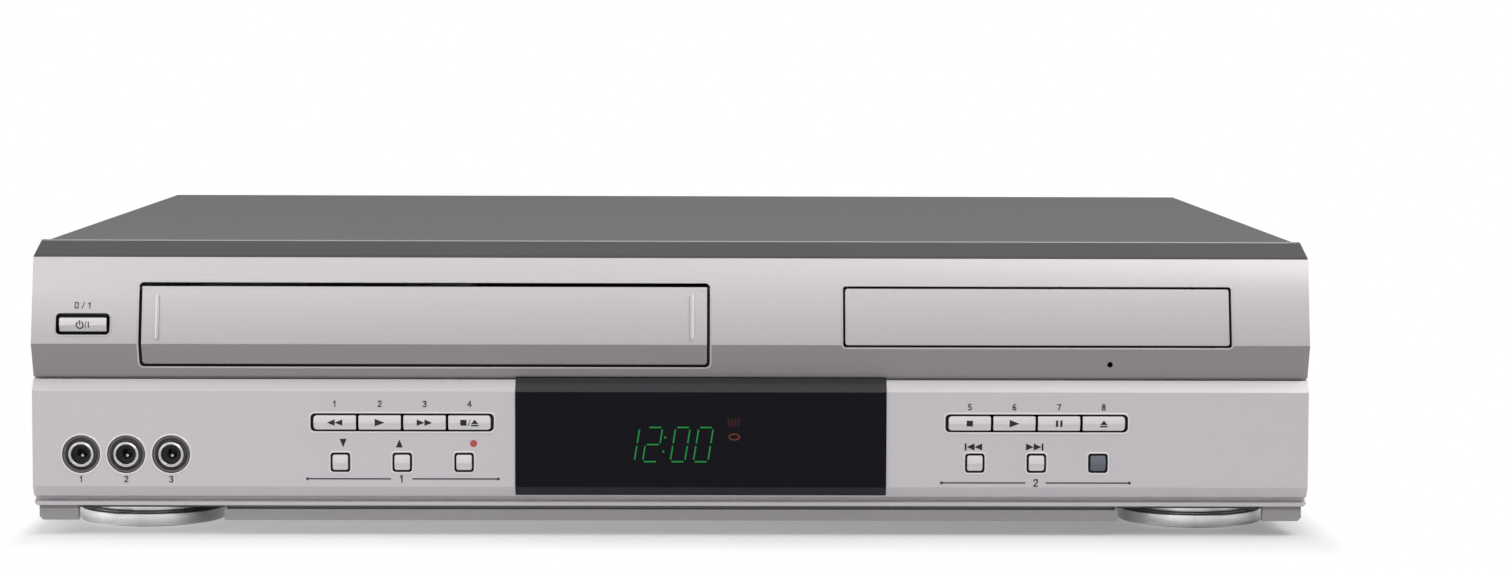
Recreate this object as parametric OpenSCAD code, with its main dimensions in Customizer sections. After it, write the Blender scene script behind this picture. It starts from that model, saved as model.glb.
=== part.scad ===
// Home player with a front-loading tape compartment and a disc tray.
// +X right, +Y to the back, +Z up; the floor is z = 0 and the origin is under the middle.
// Depths "d" run from the ridge of the front panel towards the back.

/* [Casing] */
// Width of the front panel, the widest part
panel_w = 430; // [426:1:440]
// Depth from the front panel's ridge to the tips of the rear sockets
case_d = 360; // [352:1:380]
// Height of the casing from the chassis underside to the top of the bezel
case_h = 91.5; // [90.5:0.5:98]
// How far the steel cover stands in from each side of the front panel
cover_inset = 2; // [1:0.5:4]
// Sheet thickness of the steel cover
cover_t = 1; // [0.8:0.1:1.4]
// Sheet thickness of the chassis pan
pan_t = 1.2; // [1:0.1:1.6]
// Height of the pan's side flanges
pan_flange_h = 14; // [10:1:20]
// How far the rear sockets stand out of the rear panel
socket_reach = 8; // [6:0.5:10]

/* [Front panel] */
// Wall of the front panel moulding
wall = 2.5; // [2:0.1:2.8]
// Depth of the moulding's side and top returns
panel_d = 17; // [15:0.5:20]
// Height of the bevelled bezel
bezel_h = 5.5; // [4.5:0.5:7]
// Depth over which the bezel slopes back
bezel_run = 6; // [4:0.5:8]
// Height of the ridge above the chassis underside
ridge_rise = 57.1; // [56:0.1:58]
// How far the upper face leans back from the ridge to the bezel
upper_lean = 7; // [5:0.5:8]
// Height of the dark band under the ridge
band_h = 11.3; // [10:0.1:12]
// How far the band leans back below the ridge
band_lean = 5; // [4:0.5:6]
// Thickness of the band trim
band_t = 1.2; // [0.8:0.1:1.5]
// Height of the parting groove under the band
groove_h = 0.8; // [0.5:0.1:1.2]
// Height of the bright chamfer under the groove
chamfer_h = 3.8; // [3:0.1:5]
// How far the lower face stands behind the ridge
face_set = 1.5; // [1:0.1:2.5]
// Height of the slope at the foot of the lower face
toe_h = 3.5; // [2:0.1:5]
// How far that slope leans back
toe_lean = 3; // [2:0.1:4]
// Height of the dark groove over the lip
lip_groove_h = 1.9; // [1.5:0.1:2.5]
// Height of the lip
lip_h = 1.3; // [1:0.1:2]
// Height of the skirt under the lip
skirt_h = 5; // [4:0.1:6]
// How far the skirt hangs below the chassis
skirt_drop = 2.8; // [2:0.1:4]

/* [Cassette door] */
// Width of the door opening
door_w = 191.8; // [190:0.1:194]
// Height of the door opening
door_h = 28.3; // [28:0.1:29.5]
// Left edge of the door opening, as a share of the panel's width
door_left_share = 0.0835; // [0.08:0.0005:0.09]
// Bottom of the opening below the ridge
door_below_ridge = 7.8; // [7:0.1:8.5]
// Gap between the door and its opening
door_gap = 1; // [0.8:0.1:1.2]
// Wall of the door
door_t = 2.4; // [2:0.1:2.8]
// Radius of the door's hinge pins
door_pin_r = 1.2; // [1:0.1:1.6]

/* [Disc tray] */
// Width of the tray opening
tray_open_w = 131.1; // [130:0.1:134]
// Height of the tray opening
tray_open_h = 20.3; // [19.5:0.1:21]
// Right edge of the opening from the panel's right edge, as a share of its width
tray_right_share = 0.0614; // [0.055:0.0001:0.07]
// Gap between the tray front and its opening
tray_gap = 0.8; // [0.6:0.1:1.2]
// Length of the tray
tray_l = 160; // [155:1:165]
// Height of the tray's sides
tray_side_h = 11; // [10:0.1:12]
// Radius of the large disc recess
disc_r = 60.8; // [60.5:0.1:61.5]
// Travel of the tray
tray_travel = 137; // [130:1:140]
// Teeth of the gear that drives the tray
tray_gear_teeth = 30; // [24:1:32]

/* [Display window] */
// Width of the window, as a share of the panel's width
window_share = 0.29; // [0.27:0.001:0.295]
// Middle of the window from the panel's middle, as a share of its width
window_place = 0.0227; // [0.02:0.0001:0.025]
// Clearance round the window
window_gap = 0.2; // [0.1:0.05:0.4]

/* [Controls] */
// Button travel
button_travel = 0.8; // [0.5:0.1:1]
// Gap between a button and its hole
button_gap = 0.5; // [0.4:0.1:0.7]
// Pitch of the buttons in a row, as a share of the panel's width
row_pitch_share = 0.0351; // [0.032:0.0001:0.036]
// Height of the row openings
row_h = 6.1; // [5:0.1:7]
// Height of the button rows above the chassis underside
row_rise = 30.7; // [29:0.1:31.5]
// Side of the square button holes
small_w = 6.6; // [6:0.1:7.5]
// Pitch of the square buttons, as a share of the panel's width
small_pitch_share = 0.0484; // [0.042:0.0001:0.05]
// Height of the square buttons above the chassis underside
small_rise = 17.2; // [16:0.1:18]
// Middle of the tape controls from the panel's left edge, as a share of its width
tape_controls_share = 0.2888; // [0.285:0.0001:0.292]
// Width of the power button's hole
power_w = 18.1; // [16:0.1:20]
// Height of the power button's hole
power_h = 7.1; // [6:0.1:8]
// Middle of the power button from the panel's left edge
power_left = 17.2; // [16.5:0.1:18]
// Height of the power button above the chassis underside
power_rise = 63.7; // [62:0.1:66]
// Radius of the front jack holes
jack_hole_r = 6.4; // [6:0.1:6.8]
// Wall of the jacks' metal shells
shell_t = 0.8; // [0.6:0.1:1.2]
// How far the jacks' black cores stand behind the dish
core_set = 2; // [0:0.5:4]
// Pitch of the front jacks
jack_pitch = 15.1; // [14.5:0.1:16]
// Middle of the first front jack from the panel's left edge
jack_left = 16.3; // [15.5:0.1:18]
// Height of the front jacks above the chassis underside
jack_rise = 19.8; // [19:0.1:21]
// Outer radius of a phono socket's shell
phono_r = 4.15; // [4:0.05:4.3]

/* [Feet] */
// Diameter of the front foot discs
foot_disc_d = 50; // [44:1:54]
// Height of the front foot discs
foot_disc_h = 5.2; // [4:0.1:6]
// Height of the neck between disc and chassis
foot_neck_h = 2.8; // [2:0.1:4]
// Radius of the neck
foot_neck_r = 20; // [16:0.5:21]
// Middle of the front feet from the panel's side edges
foot_side = 34; // [32:0.5:38]
// Middle of the front feet behind the ridge
foot_back = 48; // [44:0.5:56]
// Radius of the rear feet
rear_foot_r = 14; // [12:0.5:18]
// Thickness of the pads under the feet
pad_t = 1.2; // [0.8:0.1:1.6]

/* [Tape deck] */
// Height of the deck plate above the chassis underside
deck_rise = 16; // [15:0.5:17]
// Thickness of the deck plate
deck_t = 1.2; // [1:0.1:1.6]
// Width of a cassette
cassette_w = 188; // [187:0.5:188.5]
// Thickness of a cassette
cassette_h = 25; // [24.5:0.5:25.5]
// Depth of the cassette holder
holder_d = 100; // [96:1:102]
// Travel of the cassette holder to the back
carriage_travel = 70; // [65:1:72]
// Drop of the cassette holder onto the reels
carriage_drop = 30; // [28:0.5:30]
// Sheet thickness of the carriage
carriage_t = 1; // [0.8:0.1:1.2]
// Radius of the head drum
drum_r = 31; // [29:0.5:31]
// Tilt of the head drum
drum_tilt = 5; // [3:0.5:6]
// Distance between the reel tables
reel_pitch = 91.4; // [90:0.2:93]
// Radius of the reel tables
reel_r = 27; // [24:0.5:28]

/* [Disc loader] */
// Wall of the loader frame
loader_wall = 2.5; // [2:0.1:3]
// Radius of the turntable
turntable_r = 15; // [14:0.5:16]
// Travel of the pickup sled
sled_travel = 35; // [32:1:36]

/* [Boards] */
// Thickness of the circuit boards
board_t = 1.6; // [1.2:0.1:2]
// Height of the board posts
post_h = 3.8; // [3:0.1:4.5]

/* [Hidden] */
$fn = 48;

// colours
silver = [0.84, 0.82, 0.83];
band_grey = [0.52, 0.5, 0.51];
cover_grey = [0.42, 0.41, 0.42];
bezel_grey = [0.33, 0.32, 0.33];
steel = [0.72, 0.73, 0.74];
dark_plastic = [0.12, 0.12, 0.13];
window_black = [0.08, 0.08, 0.1];
board_green = [0.12, 0.3, 0.18];
board_tan = [0.62, 0.47, 0.28];
white_plastic = [0.85, 0.85, 0.82];
brass = [0.8, 0.65, 0.35];
rubber_black = [0.06, 0.06, 0.06];

// clearances
fit = 0.3;            // between parts that move past each other
pin_fit = 0.05;       // radial, pin in bore

// levels
base_z = foot_disc_h + foot_neck_h;
top_z = base_z + case_h;
panel_top_z = top_z - bezel_h;
ridge_z = base_z + ridge_rise;
band_z = ridge_z - band_h;
strip_z = band_z - groove_h;
face_z = strip_z - chamfer_h;
skirt_z = base_z - skirt_drop;
lip_z = skirt_z + skirt_h;
lip_top_z = lip_z + lip_h;
toe_z = lip_top_z + lip_groove_h;
toe_top_z = toe_z + toe_h;
pan_top_z = base_z + pan_t;

// casing planes
side_x = panel_w / 2;
cover_x = side_x - cover_inset;
front_y = -case_d / 2;
back_y = case_d / 2 - socket_reach;
cover_drop = 0.5;                       // the cover lies this far under the bezel's top
cover_z = top_z - cover_drop;
bezel_back = upper_lean + bezel_run + 1.2;
cover_edge_h = 1.5;                     // gap between the cover's lower edge and the pan's underside
pan_front_d = panel_d + fit;
skirt_set = 5;                          // skirt and lip behind the ridge
lip_set = 4.3;
groove_depth = 2;
lip_groove_depth = 3;
skirt_groove_h = 1.3;                   // shadow line along the top of the skirt, between the feet
skirt_inset = 1.6;                      // the skirt's ends stand in from the panel's ends

// depth of the upper face and of the band at a height z
function upper_d(z) = upper_lean * (z - ridge_z) / (panel_top_z - ridge_z);
function band_d(z) = band_lean * (ridge_z - z) / band_h;

// door
door_x0 = -side_x + door_left_share * panel_w;
door_x1 = door_x0 + door_w;
door_z0 = ridge_z - door_below_ridge;
door_z1 = door_z0 + door_h;
door_top_gap = door_gap + 0.3;
door_mid_x = (door_x0 + door_x1) / 2;
hinge_z = door_z1 - door_top_gap - 1;
hinge_d = upper_d(hinge_z) + 1.8;
ear_t = 2.5;
ear_r = 3.2;
spring_l = 3.2;
stud_d = hinge_d + 7;                   // stud of the door's spring
stud_z = hinge_z + 3;

// tray
tray_x1 = side_x - tray_right_share * panel_w;
tray_x0 = tray_x1 - tray_open_w;
tray_mid_x = (tray_x0 + tray_x1) / 2;
tray_z0 = ridge_z - 0.7;
tray_z1 = tray_z0 + tray_open_h;
tray_front_d = 8;                       // the tray starts behind its front at this depth
tray_half = tray_open_w / 2 - 1.55;
tray_y0 = front_y + tray_front_d;
tray_base_z = tray_z0 + 3.6;            // lower edge of the tray's sides
tray_top_z = tray_base_z + tray_side_h;
tray_deck_z = tray_top_z - 6;           // underside of the tray's deck
disc_y = tray_y0 + 10 + disc_r;

// controls
tape_x = -side_x + tape_controls_share * panel_w;
row_pitch = row_pitch_share * panel_w;
small_pitch = small_pitch_share * panel_w;
disc_x = tray_mid_x;
row_z = base_z + row_rise;
small_z = base_z + small_rise;
power_x = -side_x + power_left;
power_z = base_z + power_rise;
jack_x = -side_x + jack_left;
jack_z = base_z + jack_rise;
row_w = 4 * row_pitch + 1.3;
inner_d = face_set + wall;              // back of the lower face
flange_t = 1.2;
flange_lap = 0.9;
switch_h = 3.4;
board_top_z = face_z - 1.2;
board_d = 16;                           // front of the front board
stem_end_d = board_d - switch_h - button_travel - fit;
stem_r = 1.5;

// window
window_w = window_share * panel_w;
window_x = window_place * panel_w;
window_z0 = toe_z + 0.7;
window_z1 = band_z - 0.2;
window_x0 = window_x - window_w / 2;
window_x1 = window_x + window_w / 2;
window_proud = 0.4;
window_t = 2.5;

// feet
foot_x = side_x - foot_side;
foot_y = front_y + foot_back;
rear_foot_x = foot_x - 12;
rear_foot_y = back_y - 38;
pad_lip = 0.6;                          // how far the pads stand out below the discs
notch_half = foot_disc_d / 2 - 0.4;     // the skirt is open in front of each foot
notch_x = foot_x - 5.3;

// tape deck
deck_z = base_z + deck_rise;
deck_top_z = deck_z + deck_t;
holder_half = door_w / 2 - 0.4;         // inner half width of the holder
holder_z0 = door_z0 - 0.1;              // top of the holder's floor
holder_z1 = holder_z0 + cassette_h + 1;
holder_y0 = front_y + 19;
holder_y1 = holder_y0 + holder_d;
slide_t = 1;
slide_in = holder_half + carriage_t + 1.2;   // inner face of the slides from the middle
side_in = slide_in + slide_t + 1;            // inner face of the side frames
side_t = 1.2;
rail_z = holder_z1 - 5.2;               // the slides' pins run at this height
rail_pin_r = 1.5;
drop_pin_r = 2;
drop_pin_z = holder_z1 - 13.2;
drop_pin_y = (holder_y0 + holder_y1) / 2;
slide_half = 20;                        // half the slides' length
side_y0 = holder_y0 - 1;
side_y1 = drop_pin_y + slide_half + carriage_travel + 8;
side_top_z = holder_z1 + 4.8;
deck_y0 = side_y0;
deck_y1 = deck_y0 + 252;
reel_y = holder_y0 + carriage_travel + 40;
drum_x = door_mid_x + 6;
drum_y = holder_y1 + carriage_travel + 9 + drum_r;
drum_base_h = 22;
drum_rotor_h = 18;
capstan_x = door_mid_x + 56;
capstan_y = drum_y - drum_r - 1;
capstan_r = 1.5;
flywheel_r = 25;
roller_r = 6.5;
lever_l = 26;
roller_gap = 7;                         // roller to capstan at rest
roller_x = capstan_x + capstan_r + roller_gap + roller_r;
roller_y = capstan_y - 2;
lever_x = roller_x + 6;
lever_y = roller_y + lever_l;

// disc loader
loader_in = tray_half + 0.6;            // inner half width of the frame
loader_y0 = front_y + 9.5;
loader_y1 = tray_y0 + tray_l + 20;
loader_z0 = base_z + 41;
loader_floor_t = 1.8;
gear_module = 1;
gear_r = gear_module * tray_gear_teeth / 2;
rack_x = tray_mid_x - 52;
gear_x = rack_x + gear_r;
gear_y = tray_y0 + 19;
gear_z0 = tray_deck_z - 4;
gear_t = 3.6;
gear_shelf_z = gear_z0 - 1.5;
gear_pin_r = 2;
pivot_y = disc_y + 98;
pivot_z = tray_deck_z - 12;
pivot_r = 2;
traverse_half = 42;
traverse_y0 = disc_y - 24;
turntable_top_z = tray_deck_z - 1.6;
sled_y0 = disc_y + turntable_r + 1;
sled_l = 30;
rod_x = 22;
rod_r = 1.5;
bridge_half = 19;
puck_r = 15;
puck_neck_r = 11;
bridge_z = tray_top_z + 5.5;
bridge_t = 1.5;

// boards
board_z = pan_top_z + post_h;
power_board_d = 112;
main_board_d = 136;
power_x0 = tray_mid_x - tray_half + 4;
power_y0 = back_y - power_board_d;
inner_x = cover_x - cover_t - 0.5;      // half width inside the cover

// ---------- helpers ----------

// a box between two corners
module block(a, b) translate(a) cube(b - a);

// an outline in (depth, z) carried along X
module along_x(x0, x1) translate([x0, front_y, 0]) rotate([90, 0, 90]) linear_extrude(x1 - x0) children();

// an outline in (x, z) carried back from depth d0 to d1
module slab(d0, d1) translate([0, front_y + d1, 0]) rotate([90, 0, 0]) linear_extrude(d1 - d0) children();

// an outline in (x, y) carried up from z0 to z1
module plate(z0, z1) translate([0, 0, z0]) linear_extrude(z1 - z0) children();

// a rectangle with round corners
module rrect(a, b, r) {
    translate([a[0] + r, a[1]]) square([b[0] - a[0] - 2 * r, b[1] - a[1]]);
    translate([a[0], a[1] + r]) square([b[0] - a[0], b[1] - a[1] - 2 * r]);
    for (x = [a[0] + r, b[0] - r], y = [a[1] + r, b[1] - r]) translate([x, y]) circle(r);
}

// a slot with round ends, along the outline's first or second axis
module slot(a, b, r) {
    translate(a) circle(r);
    translate(b) circle(r);
    if (a[0] == b[0]) translate([a[0] - r, a[1]]) square([2 * r, b[1] - a[1]]);
    else translate([a[0], a[1] - r]) square([b[0] - a[0], 2 * r]);
}

module post(x, y, z0, z1, r) translate([x, y, z0]) cylinder(h = z1 - z0, r = r);

// a cylinder along Y, from depth d0 to d1
module peg(x, z, d0, d1, r) translate([x, front_y + d1, z]) rotate([90, 0, 0]) cylinder(h = d1 - d0, r = r);

// a cylinder along X
module pin_x(x0, x1, y, z, r) translate([x0, y, z]) rotate([0, 90, 0]) cylinder(h = x1 - x0, r = r);

// ---------- front panel ----------

// visible side of the panel moulding, top to bottom
face_line = [
    [upper_lean, panel_top_z],
    [0, ridge_z],
    [band_t, ridge_z],
    [band_lean + band_t, band_z],
    [band_lean + groove_depth, band_z],
    [band_lean + groove_depth, strip_z],
    [band_lean - 0.4, strip_z],
    [face_set, face_z],
    [face_set, toe_top_z],
    [face_set + toe_lean, toe_z],
    [face_set + toe_lean + lip_groove_depth, toe_z - 0.5],
    [face_set + toe_lean + lip_groove_depth, lip_top_z + 0.3],
    [lip_set, lip_top_z],
    [lip_set, lip_z],
    [skirt_set, lip_z],
    [skirt_set, skirt_z]];

// hidden side, bottom to top
back_line = [
    [skirt_set + wall + 1.5, skirt_z],
    [skirt_set + wall + 1.5, toe_z],
    [inner_d, toe_top_z + 1],
    [inner_d, face_z],
    [band_lean + groove_depth + wall, strip_z],
    [band_lean + groove_depth + wall, band_z],
    [band_t + wall, ridge_z],
    [upper_lean + wall, panel_top_z]];

// the panel's outline from the front, a little narrower at its foot
module panel_outline() {
    polygon([
        [-side_x, panel_top_z], [-side_x, lip_z + 1], [-side_x + 1, lip_z], [-side_x + skirt_inset, lip_z],
        [-side_x + skirt_inset, skirt_z + 1.2], [-side_x + skirt_inset + 1.2, skirt_z],
        [side_x - skirt_inset - 1.2, skirt_z], [side_x - skirt_inset, skirt_z + 1.2],
        [side_x - skirt_inset, lip_z], [side_x - 1, lip_z], [side_x, lip_z + 1], [side_x, panel_top_z]]);
}

module row_hole(x) slab(-1, panel_d)
    rrect([x - row_w / 2, row_z - row_h / 2], [x + row_w / 2, row_z + row_h / 2], 1.5);

module small_hole(x) slab(-1, panel_d)
    rrect([x - small_w / 2, small_z - small_w / 2], [x + small_w / 2, small_z + small_w / 2], 1);

module panel_holes() {
    slab(-1, panel_d - 1) rrect([door_x0, door_z0], [door_x1, door_z1], 1.5);
    slab(-1, panel_d + 1) rrect([tray_x0, tray_z0], [tray_x1, tray_z1], 1);
    slab(-1, panel_d + 1)
        rrect([power_x - power_w / 2, power_z - power_h / 2], [power_x + power_w / 2, power_z + power_h / 2], 1.5);
    slab(-1, panel_d + 1) translate([window_x0 - window_gap, window_z0 - window_gap])
        square([window_w + 2 * window_gap, window_z1 - window_z0 + 2 * window_gap]);
    for (x = [tape_x, disc_x]) row_hole(x);
    for (x = [tape_x, disc_x], i = [-1, 0, 1]) small_hole(x + i * small_pitch);
    for (i = [0:2]) peg(jack_x + i * jack_pitch, jack_z, -1, panel_d + 1, jack_hole_r);
    peg(tray_mid_x + 24.8, band_z + 4.7, -1, panel_d, 0.95);
    for (s = [-1, 1]) slab(-1, panel_d + 1) translate([s * notch_x - notch_half, skirt_z - 1])
        square([2 * notch_half, skirt_h + 1]);
    slab(-1, skirt_set + 1.8) translate([notch_half + 1 - notch_x, lip_z - skirt_groove_h])
        square([2 * (notch_x - notch_half - 1), skirt_groove_h]);
}

// where the front board is screwed to the panel
board_mid_x = (window_x1 + disc_x - row_w / 2) / 2;    // between the window and the disc controls
board_bosses = [[jack_x + 3 * jack_pitch, small_z + 18], [window_x0 - 6, face_z - 3],
    [board_mid_x, small_z - 6], [side_x - 14, small_z], [side_x - 14, row_z + 6], [board_mid_x, row_z + 6],
    [tape_x - row_w / 2 - 11, small_z - 6]];

module front_panel() {
    color(silver) difference() {
        union() {
            intersection() {
                union() {
                    along_x(-side_x, side_x) polygon(concat(face_line, back_line));
                    for (x = [-side_x, side_x - wall]) along_x(x, x + wall)
                        polygon(concat(face_line, [[panel_d, skirt_z], [panel_d, panel_top_z]]));
                }
                slab(-1, panel_d + 1) panel_outline();
            }
            // top return that the cover rests on
            block([-side_x + 1, front_y + upper_lean + 1, panel_top_z - 2],
                  [side_x - 1, front_y + panel_d, panel_top_z]);
            for (b = board_bosses) peg(b[0], b[1], inner_d - 0.5, board_d, 2.8);
            // ears of the door's hinge; the spring's stud stands on the right one
            for (x = [door_x0 - ear_t, door_x1]) along_x(x, x + ear_t) intersection() {
                union() {
                    translate([hinge_d, hinge_z]) circle(ear_r);
                    translate([0, hinge_z - ear_r]) square([hinge_d, 2 * ear_r]);
                    translate([0, hinge_z]) square([stud_d, stud_z - hinge_z + ear_r]);
                    translate([stud_d, stud_z]) circle(ear_r);
                    translate([stud_d - ear_r, hinge_z]) square([ear_r * 2, stud_z - hinge_z]);
                }
                polygon([[upper_d(ridge_z + 5) + 0.1, ridge_z + 5], [upper_lean + 0.1, panel_top_z],
                    [panel_d, panel_top_z], [panel_d, ridge_z + 5]]);
            }
            pin_x(door_x1 + ear_t - 0.5, door_x1 + ear_t + spring_l + 0.8, front_y + stud_d, stud_z, door_pin_r);
        }
        for (x = [door_x0 - ear_t, door_x1]) pin_x(x - 1, x + ear_t + 1, front_y + hinge_d, hinge_z,
            door_pin_r + pin_fit);
        panel_holes();
        for (b = board_bosses) peg(b[0], b[1], board_d - 8, board_d + 1, 1.1);
    }
}

// bevelled strip between the silver panel and the cover, with slanted ends
module top_bezel() {
    color(bezel_grey) intersection() {
        along_x(-side_x, side_x) polygon([
            [upper_lean, panel_top_z],
            [upper_lean + 0.3, panel_top_z + 0.8],
            [upper_lean + bezel_run - 1.2, top_z - 0.7],
            [upper_lean + bezel_run - 0.4, top_z - 0.1],
            [upper_lean + bezel_run + 0.2, top_z],
            [bezel_back, top_z],
            [bezel_back, cover_z - cover_t - 1],
            [bezel_back - 2, cover_z - cover_t - 1],
            [upper_lean + 3, panel_top_z]]);
        slab(0, bezel_back + 1) polygon([[-side_x, panel_top_z], [side_x, panel_top_z],
            [cover_x, top_z], [-cover_x, top_z]]);
    }
}

module band_strip(x0, x1, z0, z1) along_x(x0, x1) polygon([
    [band_d(z1), z1], [band_d(z0), z0], [band_d(z0) + band_t, z0], [band_d(z1) + band_t, z1]]);

module band_trim() {
    color(band_grey) difference() {
        band_strip(-side_x, side_x, band_z, ridge_z);
        slab(-1, panel_d) rrect([door_x0, door_z0], [door_x1, door_z1], 1.5);
        slab(-1, panel_d) rrect([tray_x0, tray_z0], [tray_x1, tray_z1], 1);
        peg(tray_mid_x + 24.8, band_z + 4.7, -1, panel_d, 0.95);
    }
}

module display_window() {
    top_d = band_lean - 0.4 - window_proud;
    low_d = face_set - window_proud;
    color(window_black) {
        along_x(window_x0, window_x1) polygon([
            [top_d, window_z1], [top_d, strip_z - 0.2], [low_d, face_z], [low_d, toe_top_z],
            [low_d + toe_lean * (toe_top_z - window_z0) / toe_h, window_z0],
            [low_d + toe_lean + window_t, window_z0], [low_d + window_t, toe_top_z + 1],
            [low_d + window_t, face_z], [top_d + window_t, strip_z], [top_d + window_t, window_z1]]);
        // side tabs that lie against the back of the panel
        for (x = [window_x0 - 2, window_x1 - 2]) block([x, front_y + inner_d, toe_top_z + 4],
            [x + 4, front_y + inner_d + 1.2, face_z - 3]);
        for (x = [window_x0, window_x1 - 2]) block([x, front_y + low_d + window_t - 0.1, toe_top_z + 4],
            [x + 2, front_y + inner_d + 1.2, face_z - 3]);
    }
}

module cassette_door() {
    x0 = door_x0 + door_gap;
    x1 = door_x1 - door_gap;
    z0 = door_z0 + door_gap;
    z1 = door_z1 - door_top_gap;
    y = front_y + hinge_d;
    color(silver) {
        intersection() {
            along_x(x0, x1) polygon([
                [upper_d(z1), z1], [0, ridge_z], [band_t, ridge_z], [band_d(z0) + band_t, z0],
                [band_d(z0) + door_t, z0], [door_t, ridge_z], [upper_d(z1) + door_t, z1]]);
            slab(-1, 20) rrect([x0, z0], [x1, z1], 1);
        }
        // pin bosses and pins at the top corners
        for (x = [x0, x1 - 3]) along_x(x, x + 3) {
            intersection() {
                translate([hinge_d, hinge_z]) circle(1.3 + door_pin_r / 2);
                translate([0, z1 - 10]) square([hinge_d + 10, 10]);
            }
            translate([hinge_d - 1.2, hinge_z - 8]) polygon([[-1.2, -1], [1.2, 4], [1.6, 8], [-0.5, 8]]);
        }
        pin_x(door_x0 - ear_t + 0.2, x0 + 1, y, hinge_z, door_pin_r);
        pin_x(x1 - 1, door_x1 + ear_t - 0.2, y, hinge_z, door_pin_r);
        // stiffening rib along the back
        along_x(x0 + 6, x1 - 6) polygon([[door_t - 0.4, ridge_z + 1], [door_t + 1.4, ridge_z + 1],
            [door_t + 1.4, ridge_z], [door_t - 0.2, ridge_z]]);
        // two raised ticks near the ends
        for (x = [x0 + 5.3, x1 - 5.3]) along_x(x - 0.5, x + 0.5) polygon([
            [upper_d(ridge_z + 1.5) - 0.3, ridge_z + 1.5], [upper_d(ridge_z + 16) - 0.3, ridge_z + 16],
            [upper_d(ridge_z + 16) + 0.5, ridge_z + 16], [upper_d(ridge_z + 1.5) + 0.5, ridge_z + 1.5]]);
    }
}

module door_band() {
    z0 = door_z0 + door_gap;
    color(band_grey) intersection() {
        band_strip(door_x0 + door_gap, door_x1 - door_gap, z0, ridge_z);
        slab(-1, 20) rrect([door_x0 + door_gap, z0], [door_x1 - door_gap, ridge_z + 5], 1);
    }
}

// torsion spring on its stud, as closed coils, with a leg towards the door
module door_spring() {
    coil_r = door_pin_r + fit + 0.5;
    color(steel) translate([door_x1 + ear_t + 0.3, front_y + stud_d, stud_z]) {
        rotate([0, 90, 0]) for (i = [0:2]) translate([0, 0, 0.5 + i * 0.9])
            rotate_extrude() translate([coil_r, 0]) circle(0.5);
        translate([0.1, coil_r - 0.4, -9]) cube([0.8, 0.8, 9]);
    }
}

// ---------- buttons ----------

// a cap with a ridged front, a flange behind the panel and a stem to its switch
module cap(x, z, w, h, face_d, crown, back_d, lap) {
    along_x(x - w / 2, x + w / 2) polygon([
        [face_d + crown, z + h / 2], [face_d + crown * 0.35, z + h * 0.32], [face_d, z + h * 0.05],
        [face_d + crown * 0.35, z - h * 0.32], [face_d + crown, z - h / 2],
        [back_d + fit, z - h / 2], [back_d + fit, z - h / 2 - lap], [back_d + fit + flange_t, z - h / 2 - lap],
        [back_d + fit + flange_t, z + h / 2 + lap], [back_d + fit, z + h / 2 + lap], [back_d + fit, z + h / 2]]);
    peg(x, z, back_d + fit, stem_end_d, stem_r);
}

module row_button(x, i) cap(x + (i - 1.5) * row_pitch, row_z, row_pitch - button_gap, row_h - 2 * button_gap,
    face_set - 1, 1, inner_d, flange_lap + button_gap);

module small_button(x, i) cap(x + i * small_pitch, small_z, small_w - 2 * button_gap, small_w - 2 * button_gap,
    face_set - 0.9, 0.8, inner_d, flange_lap + button_gap);

module tape_rewind_button() color(silver) row_button(tape_x, 0);
module tape_play_button() color(silver) row_button(tape_x, 1);
module tape_forward_button() color(silver) row_button(tape_x, 2);
module tape_eject_button() color(silver) row_button(tape_x, 3);
module disc_stop_button() color(silver) row_button(disc_x, 0);
module disc_play_button() color(silver) row_button(disc_x, 1);
module disc_pause_button() color(silver) row_button(disc_x, 2);
module disc_open_button() color(silver) row_button(disc_x, 3);
module channel_down_button() color(silver) small_button(tape_x, -1);
module channel_up_button() color(silver) small_button(tape_x, 0);
module record_button() color(silver) small_button(tape_x, 1);
module skip_back_button() color(silver) small_button(disc_x, -1);
module skip_forward_button() color(silver) small_button(disc_x, 0);
module scan_button() color([0.4, 0.43, 0.47]) small_button(disc_x, 1);

module power_button() color(silver)
    cap(power_x, power_z - 0.2, power_w - 2 * button_gap - 1.2, power_h - 2 * button_gap - 1.4,
        upper_d(power_z) - 0.4, 0.8, upper_d(power_z + power_h) + wall, flange_lap + button_gap + 0.6);

// ---------- parts behind the panel ----------

switch_places = concat(
    [for (x = [tape_x, disc_x], i = [0:3]) [x + (i - 1.5) * row_pitch, row_z]],
    [for (x = [tape_x, disc_x], i = [-1:1]) [x + i * small_pitch, small_z]],
    [[power_x, power_z]]);

module front_board() {
    low_z = toe_top_z - 3;
    color(board_tan) difference() {
        union() {
            slab(board_d, board_d + board_t) {
                translate([-inner_x + 4, low_z]) square([2 * inner_x - 8, board_top_z - low_z]);
                translate([-inner_x + 4, board_top_z - 1])
                    square([door_x0 - 8 + inner_x - 4, power_z + 7 - board_top_z + 1]);
            }
            for (p = switch_places) block([p[0] - 3, front_y + board_d - switch_h, p[1] - 3],
                [p[0] + 3, front_y + board_d + 0.1, p[1] + 3]);
        }
        for (b = board_bosses) peg(b[0], b[1], board_d - 1, board_d + board_t + 1, 1.5);
    }
}

module display_module() {
    z0 = toe_top_z + 3;
    z1 = face_z - 3;
    d0 = face_set - window_proud + window_t + 0.3;
    color(dark_plastic) difference() {
        slab(d0, board_d) rrect([window_x0 + 4, z0], [window_x1 - 4, z1], 1.5);
        slab(d0 - 1, d0 + 1.2) rrect([window_x0 + 12, z0 + 4], [window_x1 - 12, z1 - 4], 1);
    }
}

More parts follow.
